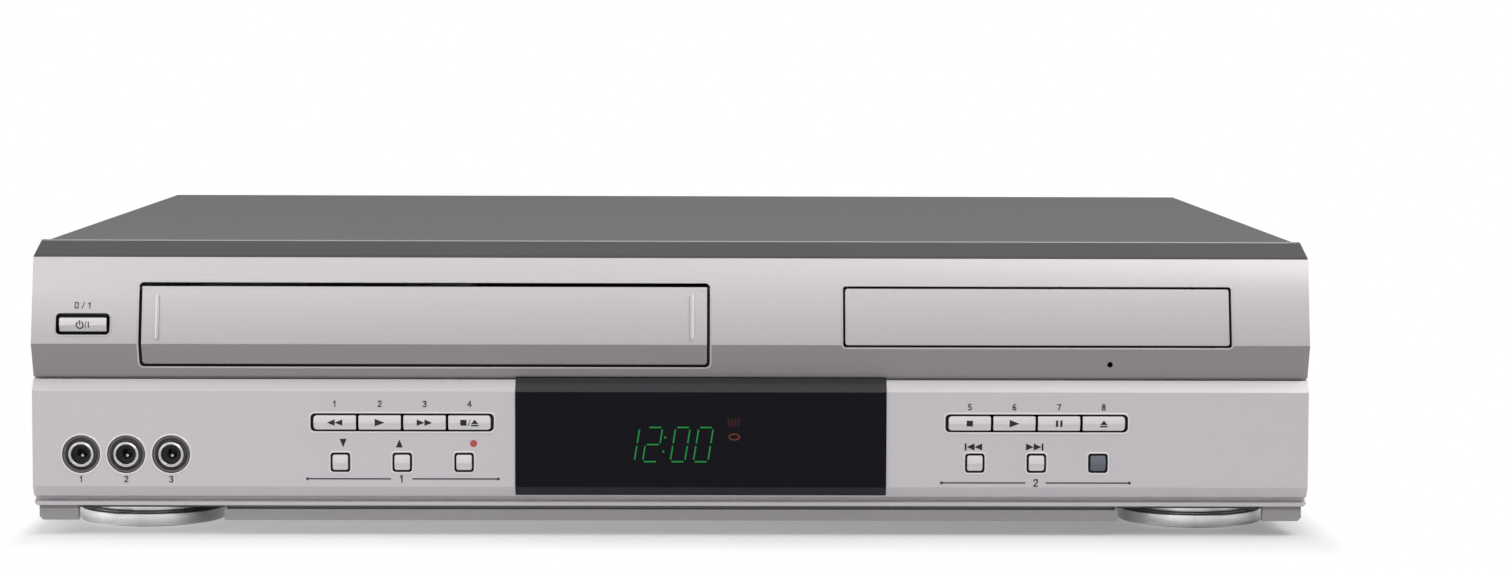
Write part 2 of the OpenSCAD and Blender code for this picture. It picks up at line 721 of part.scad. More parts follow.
module front_jack_block() {
    d_face = face_set + 0.4;
    color(dark_plastic) difference() {
        union() {
            slab(inner_d + fit, board_d) rrect([jack_x - 8, jack_z - 8], [jack_x + 2 * jack_pitch + 8, jack_z + 8], 1);
            for (i = [0:2]) peg(jack_x + i * jack_pitch, jack_z, d_face, inner_d + 1, jack_hole_r - 0.25);
        }
        for (i = [0:2]) translate([jack_x + i * jack_pitch, front_y, jack_z]) rotate([-90, 0, 0]) {
            // dished mouth, seat of the shell and the pin's hole
            translate([0, 0, d_face - 0.01]) cylinder(h = 2.5, r1 = jack_hole_r - 0.8, r2 = phono_r + 0.6);
            translate([0, 0, d_face]) difference() {
                cylinder(h = 12, r = phono_r + pin_fit);
                translate([0, 0, core_set]) cylinder(h = 12, r = phono_r - shell_t - pin_fit);
            }
            translate([0, 0, d_face - 1]) cylinder(h = 13, r = 1.7);
        }
    }
}

module front_jack_shells() {
    d_face = face_set + 0.4;
    color(steel) for (i = [0:2]) translate([jack_x + i * jack_pitch, front_y + d_face, jack_z])
        rotate([-90, 0, 0]) difference() {
            translate([0, 0, -1]) cylinder(h = 12.8, r = phono_r);
            translate([0, 0, -2]) cylinder(h = 15, r = phono_r - shell_t);
        }
}

// ---------- casing ----------

foot_spots = [[-foot_x, foot_y], [foot_x, foot_y], [-rear_foot_x, rear_foot_y], [rear_foot_x, rear_foot_y]];
deck_posts = [[door_mid_x - side_in - side_t + 6, deck_y0 + 6], [door_mid_x + side_in + side_t - 6, deck_y0 + 6],
    [door_mid_x - side_in - side_t + 6, deck_y1 - 6], [door_mid_x + side_in + side_t - 6, deck_y1 - 6]];
loader_posts = [for (x = [-1, 1], y = [loader_y0 + 14, loader_y1 - 12]) [tray_mid_x + x * (loader_in - 6), y]];
board_posts = [[-inner_x + 8, back_y - 8], [power_x0 - 14, back_y - 8], [-inner_x + 8, power_y0 - 20],
    [power_x0 - 14, power_y0 - 20], [power_x0 + 6, power_y0 + 6], [inner_x - 8, power_y0 + 6],
    [power_x0 + 6, back_y - 8], [inner_x - 8, back_y - 8]];

module chassis_pan() {
    x = inner_x;
    y0 = front_y + pan_front_d;
    color(steel) difference() {
        union() {
            block([-x, y0, base_z], [x, back_y - pan_t, pan_top_z]);
            for (s = [-x, x - pan_t]) block([s, y0, base_z], [s + pan_t, back_y - pan_t, base_z + pan_flange_h]);
            block([-x, y0, base_z], [x, y0 + pan_t, base_z + 4]);
            for (p = deck_posts) post(p[0], p[1], base_z, deck_z, 4);
            for (p = loader_posts) post(p[0], p[1], base_z, loader_z0, 4);
            for (p = board_posts) post(p[0], p[1], base_z, board_z, 3);
        }
        for (p = concat(deck_posts, loader_posts)) post(p[0], p[1], base_z - 1, base_z + 8, 2);
        for (p = board_posts) post(p[0], p[1], pan_top_z, board_z + 1, 1.2);
        for (p = foot_spots) post(p[0], p[1], base_z - 1, pan_top_z + 1, 2);
        // cooling slots under the boards
        for (i = [0:9], s = [0, 1]) plate(base_z - 1, pan_top_z + 1)
            slot([power_x0 + 16 + i * 10, power_y0 + 16 + s * 44], [power_x0 + 16 + i * 10, power_y0 + 44 + s * 44], 1.6);
    }
}

vent_pitch = 6;
vent_l = 18;
vent_rows = [base_z + 22, base_z + 46];
cover_bend_r = cover_t + 0.4;

module cover_outline(inset) {
    x = cover_x - inset;
    z = cover_z - inset;
    r = cover_bend_r - inset;
    z0 = base_z + cover_edge_h;
    translate([-x, z0 - inset]) square([2 * x, z - r - z0 + inset]);
    translate([-x + r, z0]) square([2 * (x - r), z - z0]);
    for (s = [-1, 1]) translate([s * (x - r), z - r]) circle(r);
}

cover_y0 = front_y + bezel_back;
screw_z = base_z + 9;
screw_ys = [front_y + 90, back_y - 60];
screw_r = 2;

module top_cover() {
    color(cover_grey) difference() {
        slab(bezel_back, back_y - front_y) difference() {
            cover_outline(0);
            cover_outline(cover_t);
        }
        // the cover's sides start behind the panel's side returns
        for (s = [-1, 1]) translate([s * cover_x - 5, cover_y0 - 1, base_z - 1])
            cube([10, front_y + panel_d + 0.2 - cover_y0 + 1, panel_top_z - base_z + 1.4]);
        // side vents
        for (x = [-cover_x - 1, cover_x - cover_t - 1]) translate([x, 0, 0]) rotate([90, 0, 90])
            linear_extrude(cover_t + 2) for (i = [0:17], z = vent_rows)
                slot([back_y - 150 + i * vent_pitch, z], [back_y - 150 + i * vent_pitch, z + vent_l], 1.4);
        // screw holes
        for (y = screw_ys) pin_x(-side_x, side_x, y, screw_z, screw_r + 0.2);
    }
}

module screw(h) {
    cylinder(h = h, r = screw_r);
    translate([0, 0, h]) difference() {
        cylinder(h = 1.4, r1 = 4, r2 = 3.4);
        for (a = [0, 90]) rotate(a) translate([-2, -0.4, 0.5]) cube([4, 0.8, 2]);
    }
}

module cover_screws() {
    color(steel) {
        for (y = screw_ys, s = [-1, 1]) translate([s * (cover_x - cover_t - 0.4), y, screw_z])
            rotate([0, s * 90, 0]) screw(cover_t + 0.4);
        for (x = [-inner_x + 22, 0, inner_x - 22]) translate([x, back_y - pan_t, top_z - 9]) rotate([-90, 0, 0])
            screw(pan_t);
    }
}

// ---------- rear ----------

tuner_x = -inner_x + 40;
jacks_x = -28;
inlet_x = inner_x - 24;
rear_row_z = base_z + 15;
rear_rows = 3;
rear_cols = 7;
rear_pitch = 16;
rear_row_pitch = 16;
f_r = 4.7;

module rear_holes() {
    for (c = [0:rear_cols - 1], r = [0:rear_rows - 1])
        translate([jacks_x + (c - 3) * rear_pitch, rear_row_z + r * rear_row_pitch]) circle(phono_r + 1.2);
    for (z = [24, 46]) translate([tuner_x, base_z + z]) circle(f_r + 0.6);
    rrect([inlet_x - 12, rear_row_z - 2], [inlet_x + 12, rear_row_z + 14], 3);
    for (i = [0:15]) slot([inlet_x - 100 + i * 7, base_z + 52], [inlet_x - 100 + i * 7, base_z + 72], 1.5);
}

module rear_panel() {
    color(steel) difference() {
        slab(back_y - front_y - pan_t, back_y - front_y) difference() {
            rrect([-inner_x, base_z], [inner_x, cover_z - cover_t - 0.2], 1);
            rear_holes();
            for (x = [-inner_x + 22, 0, inner_x - 22]) translate([x, top_z - 9]) circle(screw_r + 0.1);
        }
    }
}

// a phono socket: shell, sunk insulator and the hole for the plug's pin
module phono_socket(h) difference() {
    cylinder(h = h, r = phono_r);
    translate([0, 0, h - 0.8]) cylinder(h = 2, r = phono_r - 1.1);
    translate([0, 0, 1]) cylinder(h = h, r = 1.6);
}

module rear_jacks() {
    y0 = back_y - pan_t;
    x0 = jacks_x - 3 * rear_pitch - 8;
    x1 = jacks_x + 3 * rear_pitch + 8;
    color(dark_plastic) {
        block([x0, y0 - 13, board_z + board_t], [x1, y0, rear_row_z + (rear_rows - 1) * rear_row_pitch + 8]);
        for (c = [0:rear_cols - 1], r = [0:rear_rows - 1])
            translate([jacks_x + (c - 3) * rear_pitch, y0 - 0.5, rear_row_z + r * rear_row_pitch])
                rotate([-90, 0, 0]) phono_socket(pan_t + 0.5 + socket_reach);
    }
}

module tuner_module() {
    y0 = back_y - pan_t;
    color(steel) {
        block([tuner_x - 20, y0 - 62, board_z + board_t], [tuner_x + 20, y0, base_z + 60]);
        for (z = [24, 46]) translate([tuner_x, y0 - 0.5, base_z + z]) rotate([-90, 0, 0]) difference() {
            cylinder(h = pan_t + 0.5 + socket_reach, r = f_r);
            translate([0, 0, 3]) cylinder(h = socket_reach + 3, r = 1);
        }
    }
}

module mains_inlet() {
    y0 = back_y - pan_t;
    z = rear_row_z + 6;
    color(dark_plastic) difference() {
        union() {
            slab(y0 - front_y - 16, y0 - front_y) rrect([inlet_x - 14, z - 10], [inlet_x + 14, z + 10], 1);
            slab(y0 - front_y - 1, back_y - front_y + 2) rrect([inlet_x - 11.8, z - 7.8], [inlet_x + 11.8, z + 7.8], 3);
        }
        slab(y0 - front_y - 12, back_y - front_y + 3) {
            slot([inlet_x - 4, z], [inlet_x + 4, z], 4.2);
        }
    }
    color(brass) for (s = [-1, 1]) translate([inlet_x + s * 4, y0 - 12.2, z]) rotate([-90, 0, 0])
        cylinder(h = 10, r = 1.2);
}

// ---------- feet ----------

module front_feet() {
    color(silver) for (s = [-1, 1]) translate([s * foot_x, foot_y, 0]) difference() {
        rotate_extrude() polygon([[0, pad_lip], [foot_disc_d / 2 - 1, pad_lip], [foot_disc_d / 2, pad_lip + 1],
            [foot_disc_d / 2, foot_disc_h - 0.4], [foot_disc_d / 2 - 0.4, foot_disc_h], [foot_neck_r, foot_disc_h],
            [foot_neck_r, base_z], [0, base_z]]);
        translate([0, 0, -1]) cylinder(h = 1 + pad_t, r = foot_disc_d / 2 - 4);
        translate([0, 0, -1]) cylinder(h = base_z + 2, r = 2);
        translate([0, 0, -1]) cylinder(h = base_z - 1.5, r = 5);
    }
}

module rear_feet() {
    color(dark_plastic) for (s = [-1, 1]) translate([s * rear_foot_x, rear_foot_y, 0]) difference() {
        rotate_extrude() polygon([[0, pad_lip], [rear_foot_r - 1.5, pad_lip], [rear_foot_r, base_z], [0, base_z]]);
        translate([0, 0, -1]) cylinder(h = 1 + pad_t, r = rear_foot_r - 4);
        translate([0, 0, -1]) cylinder(h = base_z + 2, r = 2);
        translate([0, 0, -1]) cylinder(h = base_z - 1.5, r = 5);
    }
}

module foot_pads() {
    color(rubber_black) {
        for (s = [-1, 1]) translate([s * foot_x, foot_y, 0]) difference() {
            cylinder(h = pad_t, r = foot_disc_d / 2 - 4 - pin_fit);
            translate([0, 0, -1]) cylinder(h = pad_t + 2, r = 6);
        }
        for (s = [-1, 1]) translate([s * rear_foot_x, rear_foot_y, 0]) difference() {
            cylinder(h = pad_t, r = rear_foot_r - 4 - pin_fit);
            translate([0, 0, -1]) cylinder(h = pad_t + 2, r = 6);
        }
    }
}

// ---------- tape deck ----------

module deck_plate() {
    color(steel) difference() {
        plate(deck_z, deck_top_z) difference() {
            translate([door_mid_x - side_in - side_t, deck_y0]) square([2 * (side_in + side_t), deck_y1 - deck_y0]);
            for (x = [-1, 1]) translate([door_mid_x + x * 60, deck_y0 + 42]) rrect([-20, -26], [20, 26], 6);
            translate([door_mid_x - holder_half + 15, drum_y - drum_r + 11]) rrect([0, 0], [drum_r - 1, 2 * drum_r - 2], 5);
            translate([capstan_x, capstan_y]) circle(5.2);
        }
        for (p = deck_posts) post(p[0], p[1], deck_z - 1, deck_top_z + 1, 1.6);
    }
    color(steel) for (s = [-1, 1]) difference() {
        post(door_mid_x + s * reel_pitch / 2, reel_y, deck_top_z - 0.2, deck_top_z + 15, 2);
        post(door_mid_x + s * reel_pitch / 2, reel_y, deck_top_z + 14, deck_top_z + 16, 1);
    }
    color(steel) post(lever_x, lever_y, deck_top_z - 0.2, deck_top_z + 20, 2);
}

// side frames with the slots that the slides' pins run in, joined by a stay
module carriage_frame() {
    color(steel) {
        for (s = [-1, 1]) {
            x = s > 0 ? door_mid_x + side_in : door_mid_x - side_in - side_t;
            translate([x, 0, 0]) rotate([90, 0, 90]) linear_extrude(side_t) difference() {
                union() {
                    translate([side_y0, deck_top_z]) square([side_y1 - side_y0, 14]);
                    translate([side_y0, deck_top_z]) square([22, side_top_z - deck_top_z]);
                    translate([side_y1 - 30, deck_top_z]) square([30, side_top_z - deck_top_z]);
                    translate([side_y0, rail_z - 8]) square([side_y1 - side_y0, side_top_z - rail_z + 8]);
                }
                slot([drop_pin_y - 14 - 1, rail_z], [drop_pin_y + 14 + carriage_travel + 1, rail_z], rail_pin_r + fit);
            }
        }
        block([door_mid_x - side_in - side_t, drop_pin_y, side_top_z - 1.2],
            [door_mid_x + side_in + side_t, drop_pin_y + 26, side_top_z]);
    }
}

module carriage_slides() {
    z0 = drop_pin_z - carriage_drop - 6;
    color(white_plastic) for (s = [-1, 1]) {
        x = s > 0 ? door_mid_x + slide_in : door_mid_x - slide_in - slide_t;
        difference() {
            translate([x, 0, 0]) rotate([90, 0, 90]) linear_extrude(slide_t) difference() {
                translate([drop_pin_y, 0]) rrect([-slide_half, z0], [slide_half, rail_z + 4], 2);
                slot([drop_pin_y, drop_pin_z - carriage_drop - 0.5], [drop_pin_y, drop_pin_z + 0.5], drop_pin_r + fit);
            }
        }
        for (y = [-14, 14]) pin_x(s > 0 ? x + slide_t - 0.2 : x - 1 - side_t, s > 0 ? x + slide_t + 1 + side_t : x + 0.2,
            drop_pin_y + y, rail_z, rail_pin_r);
    }
}

module cassette_holder() {
    h = holder_half;
    t = carriage_t;
    color(steel) translate([door_mid_x, 0, 0]) {
        for (s = [-1, 1]) {
            block([s > 0 ? h : -h - t, holder_y0, holder_z0 - t], [s > 0 ? h + t : -h, holder_y1, holder_z1 + t]);
            block([s > 0 ? h - 17 : -h - t, holder_y0, holder_z0 - t], [s > 0 ? h + t : -h + 17, holder_y1, holder_z0]);
            block([s > 0 ? h - 8 : -h - t, holder_y1 - 1, holder_z0 - t], [s > 0 ? h + t : -h + 8, holder_y1, holder_z0 + 8]);
            pin_x(s > 0 ? h + t - 0.2 : -slide_in - slide_t, s > 0 ? slide_in + slide_t : -h - t + 0.2,
                drop_pin_y, drop_pin_z, drop_pin_r);
        }
        plate(holder_z1, holder_z1 + t) difference() {
            translate([-h - t, holder_y0 + 22]) square([2 * (h + t), holder_d - 22]);
            rrect([-50, holder_y0 + 40], [50, holder_y1 - 12], 4);
            for (s = [-1, 1]) translate([s * 72, 0]) rrect([-10, holder_y0 + 40], [10, holder_y1 - 12], 4);
        }
    }
}

// the drum's parts lean back a little about the foot of its base
module drum_place() translate([drum_x, drum_y, deck_top_z]) rotate([-drum_tilt, 0, 0]) children();

module drum_base() {
    color([0.62, 0.63, 0.65]) difference() {
        union() {
            translate([drum_x, drum_y, deck_top_z]) cylinder(h = 6, r = drum_r + 3);
            drum_place() translate([0, 0, 4]) cylinder(h = drum_base_h - 4, r = drum_r);
            drum_place() translate([0, 0, drum_base_h - 0.1]) cylinder(h = 4, r = 5);
        }
        // ramp that guides the tape's lower edge
        drum_place() translate([0, 0, 10]) difference() {
            cylinder(h = 1, r = drum_r + 1);
            cylinder(h = 1, r = drum_r - 0.4);
        }
    }
}

module drum_rotor() {
    color([0.75, 0.76, 0.78]) drum_place() translate([0, 0, drum_base_h + 0.4]) {
        difference() {
            cylinder(h = drum_rotor_h, r = drum_r);
            translate([0, 0, -1]) cylinder(h = 5.2, r = 5.6);
            translate([0, 0, drum_rotor_h - 5]) difference() {
                cylinder(h = 6, r = drum_r - 4);
                cylinder(h = 6, r = 11);
            }
            for (a = [0:90:270]) rotate(a) translate([drum_r - 2, -2, -1]) cube([4, 4, 3]);
        }
        translate([0, 0, drum_rotor_h - 0.1]) cylinder(h = 3, r = 8);
    }
}

module reel(x) {
    z = deck_top_z + 0.5;
    translate([x, reel_y, z]) difference() {
        union() {
            cylinder(h = 2.2, r = reel_r);
            cylinder(h = 6, r = 11);
            cylinder(h = 13, r = 6);
            for (a = [0:60:300]) rotate(a) translate([5, -1, 0]) cube([4.6, 2, 11]);
        }
        translate([0, 0, -1]) cylinder(h = 16, r = 2 + pin_fit);
    }
}

module supply_reel() color(white_plastic) reel(door_mid_x - reel_pitch / 2);
module takeup_reel() color(white_plastic) reel(door_mid_x + reel_pitch / 2);

module capstan_bearing() {
    color([0.62, 0.63, 0.65]) translate([capstan_x, capstan_y, 0]) difference() {
        union() {
            translate([0, 0, deck_z - 1.2]) cylinder(h = 1.2, r = 20);
            translate([0, 0, deck_z - 1]) cylinder(h = deck_t + 7, r = 5);
        }
        translate([0, 0, deck_z - 3]) cylinder(h = 20, r = capstan_r + pin_fit);
    }
}

module capstan_rotor() {
    color(steel) translate([capstan_x, capstan_y, 0]) difference() {
        union() {
            translate([0, 0, deck_z - 1.5 - 3.2]) cylinder(h = 3.2, r = flywheel_r);
            translate([0, 0, deck_z - 3]) cylinder(h = 42, r = capstan_r);
        }
        for (a = [0:72:288]) rotate(a) translate([15, 0, deck_z - 6]) cylinder(h = 6, r = 4);
    }
}

module pinch_lever() {
    z = deck_top_z + 6;
    a = atan2(roller_x - lever_x, lever_y - roller_y);
    color(steel) difference() {
        union() {
            translate([lever_x, lever_y, 0]) rotate(a) plate(z, z + 1.5) {
                slot([0, -norm([roller_x - lever_x, lever_y - roller_y])], [0, 0], 4);
                translate([-3, 0]) square([6, 16]);
            }
            post(lever_x, lever_y, z, z + 8, 4);
            post(roller_x, roller_y, z, z + 22, 1.5);
        }
        post(lever_x, lever_y, z - 1, z + 9, 2 + pin_fit);
    }
}

module pinch_roller() {
    z = deck_top_z + 6 + 1.5 + fit;
    color(rubber_black) difference() {
        post(roller_x, roller_y, z, z + 18, roller_r);
        post(roller_x, roller_y, z - 1, z + 19, 1.5 + pin_fit);
    }
}

// ---------- disc loader ----------

module loader_frame() {
    w = loader_wall;
    color(dark_plastic) difference() {
        union() {
            for (s = [-1, 1]) translate([tray_mid_x, 0, 0]) {
                block([s > 0 ? loader_in : -loader_in - w, loader_y0, loader_z0],
                    [s > 0 ? loader_in + w : -loader_in, loader_y1, bridge_z]);
                // guides under and over the tray's edges
                for (y = [loader_y0, loader_y0 + 60], z = [tray_base_z - fit - 1.6, tray_top_z + fit])
                    block([s > 0 ? loader_in - 3 : -loader_in, y, z], [s > 0 ? loader_in : -loader_in + 3, y + 24, z + 1.6]);
            }
            block([tray_mid_x - loader_in, loader_y0, loader_z0],
                [tray_mid_x + loader_in, loader_y1, loader_z0 + loader_floor_t]);
            block([tray_mid_x - loader_in, loader_y1 - w, loader_z0], [tray_mid_x + loader_in, loader_y1, pivot_z + 4]);
            // shelf and pin of the tray gear
            block([tray_mid_x - loader_in, gear_y - 14, loader_z0], [gear_x + 16, gear_y - 12, gear_shelf_z]);
            block([tray_mid_x - loader_in, gear_y - 14, gear_shelf_z - 1.6], [gear_x + 16, gear_y + 15, gear_shelf_z]);
            post(gear_x, gear_y, gear_shelf_z - 1, gear_z0 + gear_t - 0.4, gear_pin_r);
            // ears of the traverse pivot
            for (s = [-1, 1]) translate([tray_mid_x + s * (traverse_half + 3.5), 0, 0]) {
                block([-2, pivot_y - 5, loader_z0], [2, pivot_y + 5, pivot_z]);
                pin_x(-2, 2, pivot_y, pivot_z, 5);
            }
        }
        for (s = [-1, 1]) pin_x(tray_mid_x + s * (traverse_half + 3.5) - 3, tray_mid_x + s * (traverse_half + 3.5) + 3,
            pivot_y, pivot_z, pivot_r + pin_fit);
        for (p = loader_posts) post(p[0], p[1], loader_z0 - 1, loader_z0 + 4, 1.6);
        // opening under the traverse
        plate(loader_z0 - 1, loader_z0 + loader_floor_t + 1)
            rrect([tray_mid_x - 30, disc_y - 18], [tray_mid_x + 30, pivot_y - 16], 5);
    }
}

module clamp_bridge() {
    color(steel) difference() {
        union() {
            block([tray_mid_x - loader_in - loader_wall, disc_y - bridge_half, bridge_z],
                [tray_mid_x + loader_in + loader_wall, disc_y + bridge_half, bridge_z + bridge_t]);
            for (s = [-1, 1]) block([tray_mid_x - loader_in, disc_y + s * (bridge_half - 0.8) - 0.8, bridge_z],
                [tray_mid_x + loader_in, disc_y + s * (bridge_half - 0.8) + 0.8, bridge_z + 4]);
        }
        post(tray_mid_x, disc_y, bridge_z - 1, bridge_z + 5, puck_neck_r + 1);
    }
}

module clamp_disc() {
    color(white_plastic) translate([tray_mid_x, disc_y, 0]) {
        translate([0, 0, tray_top_z + 1]) cylinder(h = 2.4, r = puck_r);
        translate([0, 0, tray_top_z + 1]) cylinder(h = bridge_z + bridge_t + fit - tray_top_z, r = puck_neck_r);
        translate([0, 0, bridge_z + bridge_t + fit]) cylinder(h = 1.6, r = puck_neck_r + 4);
    }
}

rack_tooth = gear_module * PI;
rack_teeth = floor((tray_l - 6) / rack_tooth);

module disc_tray() {
    x = tray_mid_x;
    y1 = tray_y0 + tray_l;
    color([0.2, 0.2, 0.21]) {
        difference() {
            union() {
                block([x - tray_half, tray_y0, tray_deck_z], [x + tray_half, y1, tray_top_z]);
                for (s = [-1, 1]) block([s > 0 ? x + tray_half - 2 : x - tray_half, tray_y0, tray_base_z],
                    [s > 0 ? x + tray_half : x - tray_half + 2, y1, tray_top_z]);
                block([x - tray_half, tray_y0, tray_base_z + 1], [x + tray_half, tray_y0 + 2, tray_top_z]);
            }
            // recesses for large and small discs
            translate([x, disc_y, tray_top_z - 2.6]) cylinder(h = 5, r = disc_r, $fn = 96);
            translate([x, disc_y, tray_top_z - 4.2]) cylinder(h = 5, r = disc_r - 20);
            // slot for the turntable and the pickup
            plate(tray_deck_z - 1, tray_top_z + 1) slot([x, disc_y], [x, disc_y + 46], turntable_r + 5);
            translate([x, y1 + 8, tray_top_z - 3.4]) cylinder(h = 5, r = 34);
        }
        // rack along the underside
        plate(gear_z0, tray_deck_z + 0.1) {
            translate([rack_x - 4, tray_y0 + 1]) square([4 - 1.25 * gear_module, tray_l - 4]);
            for (i = [0:rack_teeth - 1]) translate([rack_x, gear_y + (i - floor((gear_y - tray_y0 - 2) / rack_tooth)) * rack_tooth])
                polygon([[-1.3 * gear_module, -0.95], [0.85 * gear_module, -0.35], [0.85 * gear_module, 0.35],
                    [-1.3 * gear_module, 0.95]]);
        }
    }
}

module tray_front() {
    z0 = tray_z0 + tray_gap;
    z1 = tray_z1 - tray_gap;
    x0 = tray_x0 + tray_gap;
    x1 = tray_x1 - tray_gap;
    color(silver) difference() {
        intersection() {
            along_x(x0, x1) polygon([[upper_d(z1), z1], [upper_d(z0), z0], [tray_front_d, z0], [tray_front_d, z1]]);
            slab(-1, 20) rrect([x0, z0], [x1, z1], 0.8);
        }
        // pockets behind the face
        for (i = [0:3]) slab(upper_d(z1) + 2.4, tray_front_d + 1)
            translate([x0 + 3 + i * (x1 - x0 - 4) / 4, z0 + 2.4]) square([(x1 - x0 - 4) / 4 - 2, z1 - z0 - 4.8]);
    }
}

module tray_gear() {
    n = tray_gear_teeth;
    m = gear_module;
    color(white_plastic) translate([gear_x, gear_y, gear_z0]) difference() {
        union() {
            linear_extrude(gear_t) {
                circle(gear_r - 1.25 * m);
                // a gap faces the rack's tooth at rest
                for (i = [0:n - 1]) rotate(180 + (i + 0.5) * 360 / n) translate([gear_r, 0])
                    polygon([[-1.4 * m, -0.9], [0.85 * m, -0.35], [0.85 * m, 0.35], [-1.4 * m, 0.9]]);
            }
        }
        translate([0, 0, -1]) cylinder(h = gear_t + 2, r = gear_pin_r + pin_fit);
        for (a = [0:60:300]) rotate(a) translate([8, 0, -1]) cylinder(h = gear_t + 2, r = 2.2);
    }
}

module traverse() {
    h = traverse_half;
    z = pivot_z;
    color([0.25, 0.25, 0.27]) translate([tray_mid_x, 0, 0]) {
        difference() {
            union() {
                block([-h, traverse_y0, z - 1], [h, pivot_y + 4, z + 1]);
                for (s = [-1, 1]) block([s > 0 ? h - 2 : -h, traverse_y0, z - 4], [s > 0 ? h : -h + 2, pivot_y + 4, z + 3]);
                post(0, disc_y, z - 5, z + 1, 13);
            }
            plate(z - 5, z + 5) rrect([-rod_x - 6, sled_y0 - 1], [rod_x + 6, sled_y0 + sled_l + sled_travel + 2], 2);
            post(0, disc_y, z - 6, z + 5, 2 + pin_fit);
        }
        for (s = [-1, 1]) {
            pin_x(s > 0 ? h - 1 : -h - 5.5, s > 0 ? h + 5.5 : -h + 1, pivot_y, z, pivot_r);
            translate([s * rod_x, sled_y0 - 2, z + 2.4]) rotate([-90, 0, 0])
                cylinder(h = sled_l + sled_travel + 5, r = rod_r);
            for (y = [sled_y0 - 3, sled_y0 + sled_l + sled_travel + 2])
                block([s * rod_x - 3, y - 1, z], [s * rod_x + 3, y + 1, z + 4.5]);
        }
    }
}

module turntable() {
    z = turntable_top_z;
    color(rubber_black) translate([tray_mid_x, disc_y, 0]) {
        translate([0, 0, z - 2.2]) cylinder(h = 2.2, r = turntable_r);
        translate([0, 0, pivot_z + 1 + fit]) cylinder(h = z - pivot_z - 1 - fit, r = 11);
        translate([0, 0, pivot_z - 4]) cylinder(h = 8, r = 2);
        translate([0, 0, z - 0.1]) cylinder(h = 1.4, r1 = 7.4, r2 = 6.4);
    }
}

module pickup_sled() {
    z = pivot_z + 2.4;
    color([0.16, 0.16, 0.18]) translate([tray_mid_x, 0, 0]) {
        difference() {
            union() {
                block([-rod_x - 4, sled_y0, z - 3.2], [rod_x + 4, sled_y0 + sled_l, z + 3]);
                block([-11, sled_y0 + 3, z - 3.2], [11, sled_y0 + sled_l - 6, z + 4.6]);
            }
            for (s = [-1, 1]) translate([s * rod_x, sled_y0 - 1, z]) rotate([-90, 0, 0])
                cylinder(h = sled_l + 2, r = rod_r + pin_fit);
            translate([0, sled_y0 + 9, z + 3.6]) cylinder(h = 2, r = 4.2);
        }
        translate([0, sled_y0 + 9, z + 3.5]) cylinder(h = 1.5, r = 3);
    }
}

// ---------- boards ----------

module main_board() {
    z = board_z + board_t;
    x0 = -inner_x + 3;
    x1 = power_x0 - 8;
    y1 = back_y - pan_t - 1;
    y0 = y1 - main_board_d;
    w = x1 - x0;
    color(board_green) {
        difference() {
            plate(board_z, z) translate([x0, y0]) square([x1 - x0, y1 - y0]);
            for (p = board_posts) post(p[0], p[1], board_z - 1, z + 1, 1.6);
            for (p = deck_posts) post(p[0], p[1], board_z - 1, z + 1, 5);
        }
        // chips, capacitors and a plug
        for (i = [0:4]) block([x0 + w * (0.3 + i * 0.1), y1 - 0.3 * main_board_d, z - 0.1],
            [x0 + w * (0.356 + i * 0.1), y1 - 0.2 * main_board_d, z + 1.8]);
        for (i = [0:9]) post(x0 + w * (0.27 + i * 0.054), y1 - 0.4 * main_board_d, z - 0.1, z + 7, 3.2);
        block([x0 + w * 0.58, y1 - 0.62 * main_board_d, z - 0.1], [x0 + w * 0.68, y1 - 0.52 * main_board_d, z + 6]);
    }
}

module power_board() {
    z = board_z + board_t;
    x0 = power_x0;
    x1 = inner_x - 3;
    y1 = back_y - pan_t - 1;
    color(board_tan) {
        difference() {
            plate(board_z, z) translate([x0, power_y0]) square([x1 - x0, y1 - power_y0]);
            for (p = concat(board_posts, loader_posts)) post(p[0], p[1], board_z - 1, z + 1, 1.6);
        }
        // transformer: core round a taped winding
        block([x0 + 40, power_y0 + 40, z - 0.1], [x0 + 76, power_y0 + 50, z + 26]);
        block([x0 + 43, power_y0 + 34, z + 3], [x0 + 73, power_y0 + 56, z + 22]);
        block([x0 + 43, power_y0 + 34, z - 0.1], [x0 + 73, power_y0 + 38, z + 5]);
        // capacitors
        for (c = [[98, 44, 11, 30], [98, 72, 7, 22], [22, 70, 6, 20], [22, 52, 6, 20], [24, 34, 5, 14]])
            post(x0 + c[0], power_y0 + c[1], z - 0.1, z + c[3], c[2]);
        // finned heat sink
        for (i = [0:5]) block([x0 + 40 + i * 7, power_y0 + 70, z - 0.1], [x0 + 41.6 + i * 7, power_y0 + 84, z + 28]);
        block([x0 + 40, power_y0 + 69, z - 0.1], [x0 + 76.6, power_y0 + 71, z + 28]);
    }
}

chassis_pan();
top_cover();
rear_panel();
front_panel();
top_bezel();
band_trim();
display_window();
front_feet();
rear_feet();
foot_pads();
cover_screws();
display_module();
front_board();
front_jack_block();
front_jack_shells();
cassette_door();
door_band();
door_spring();
power_button();
tape_rewind_button();
tape_play_button();
tape_forward_button();
tape_eject_button();
channel_down_button();
channel_up_button();
record_button();
disc_stop_button();
disc_play_button();
disc_pause_button();
disc_open_button();
skip_back_button();
skip_forward_button();
scan_button();
deck_plate();
carriage_frame();
carriage_slides();
cassette_holder();
drum_base();
drum_rotor();
supply_reel();
takeup_reel();
capstan_bearing();
capstan_rotor();
pinch_lever();
pinch_roller();
loader_frame();
clamp_bridge();
clamp_disc();
disc_tray();
tray_front();
tray_gear();
traverse();
turntable();
pickup_sled();
main_board();
power_board();
tuner_module();
rear_jacks();
mains_inlet();
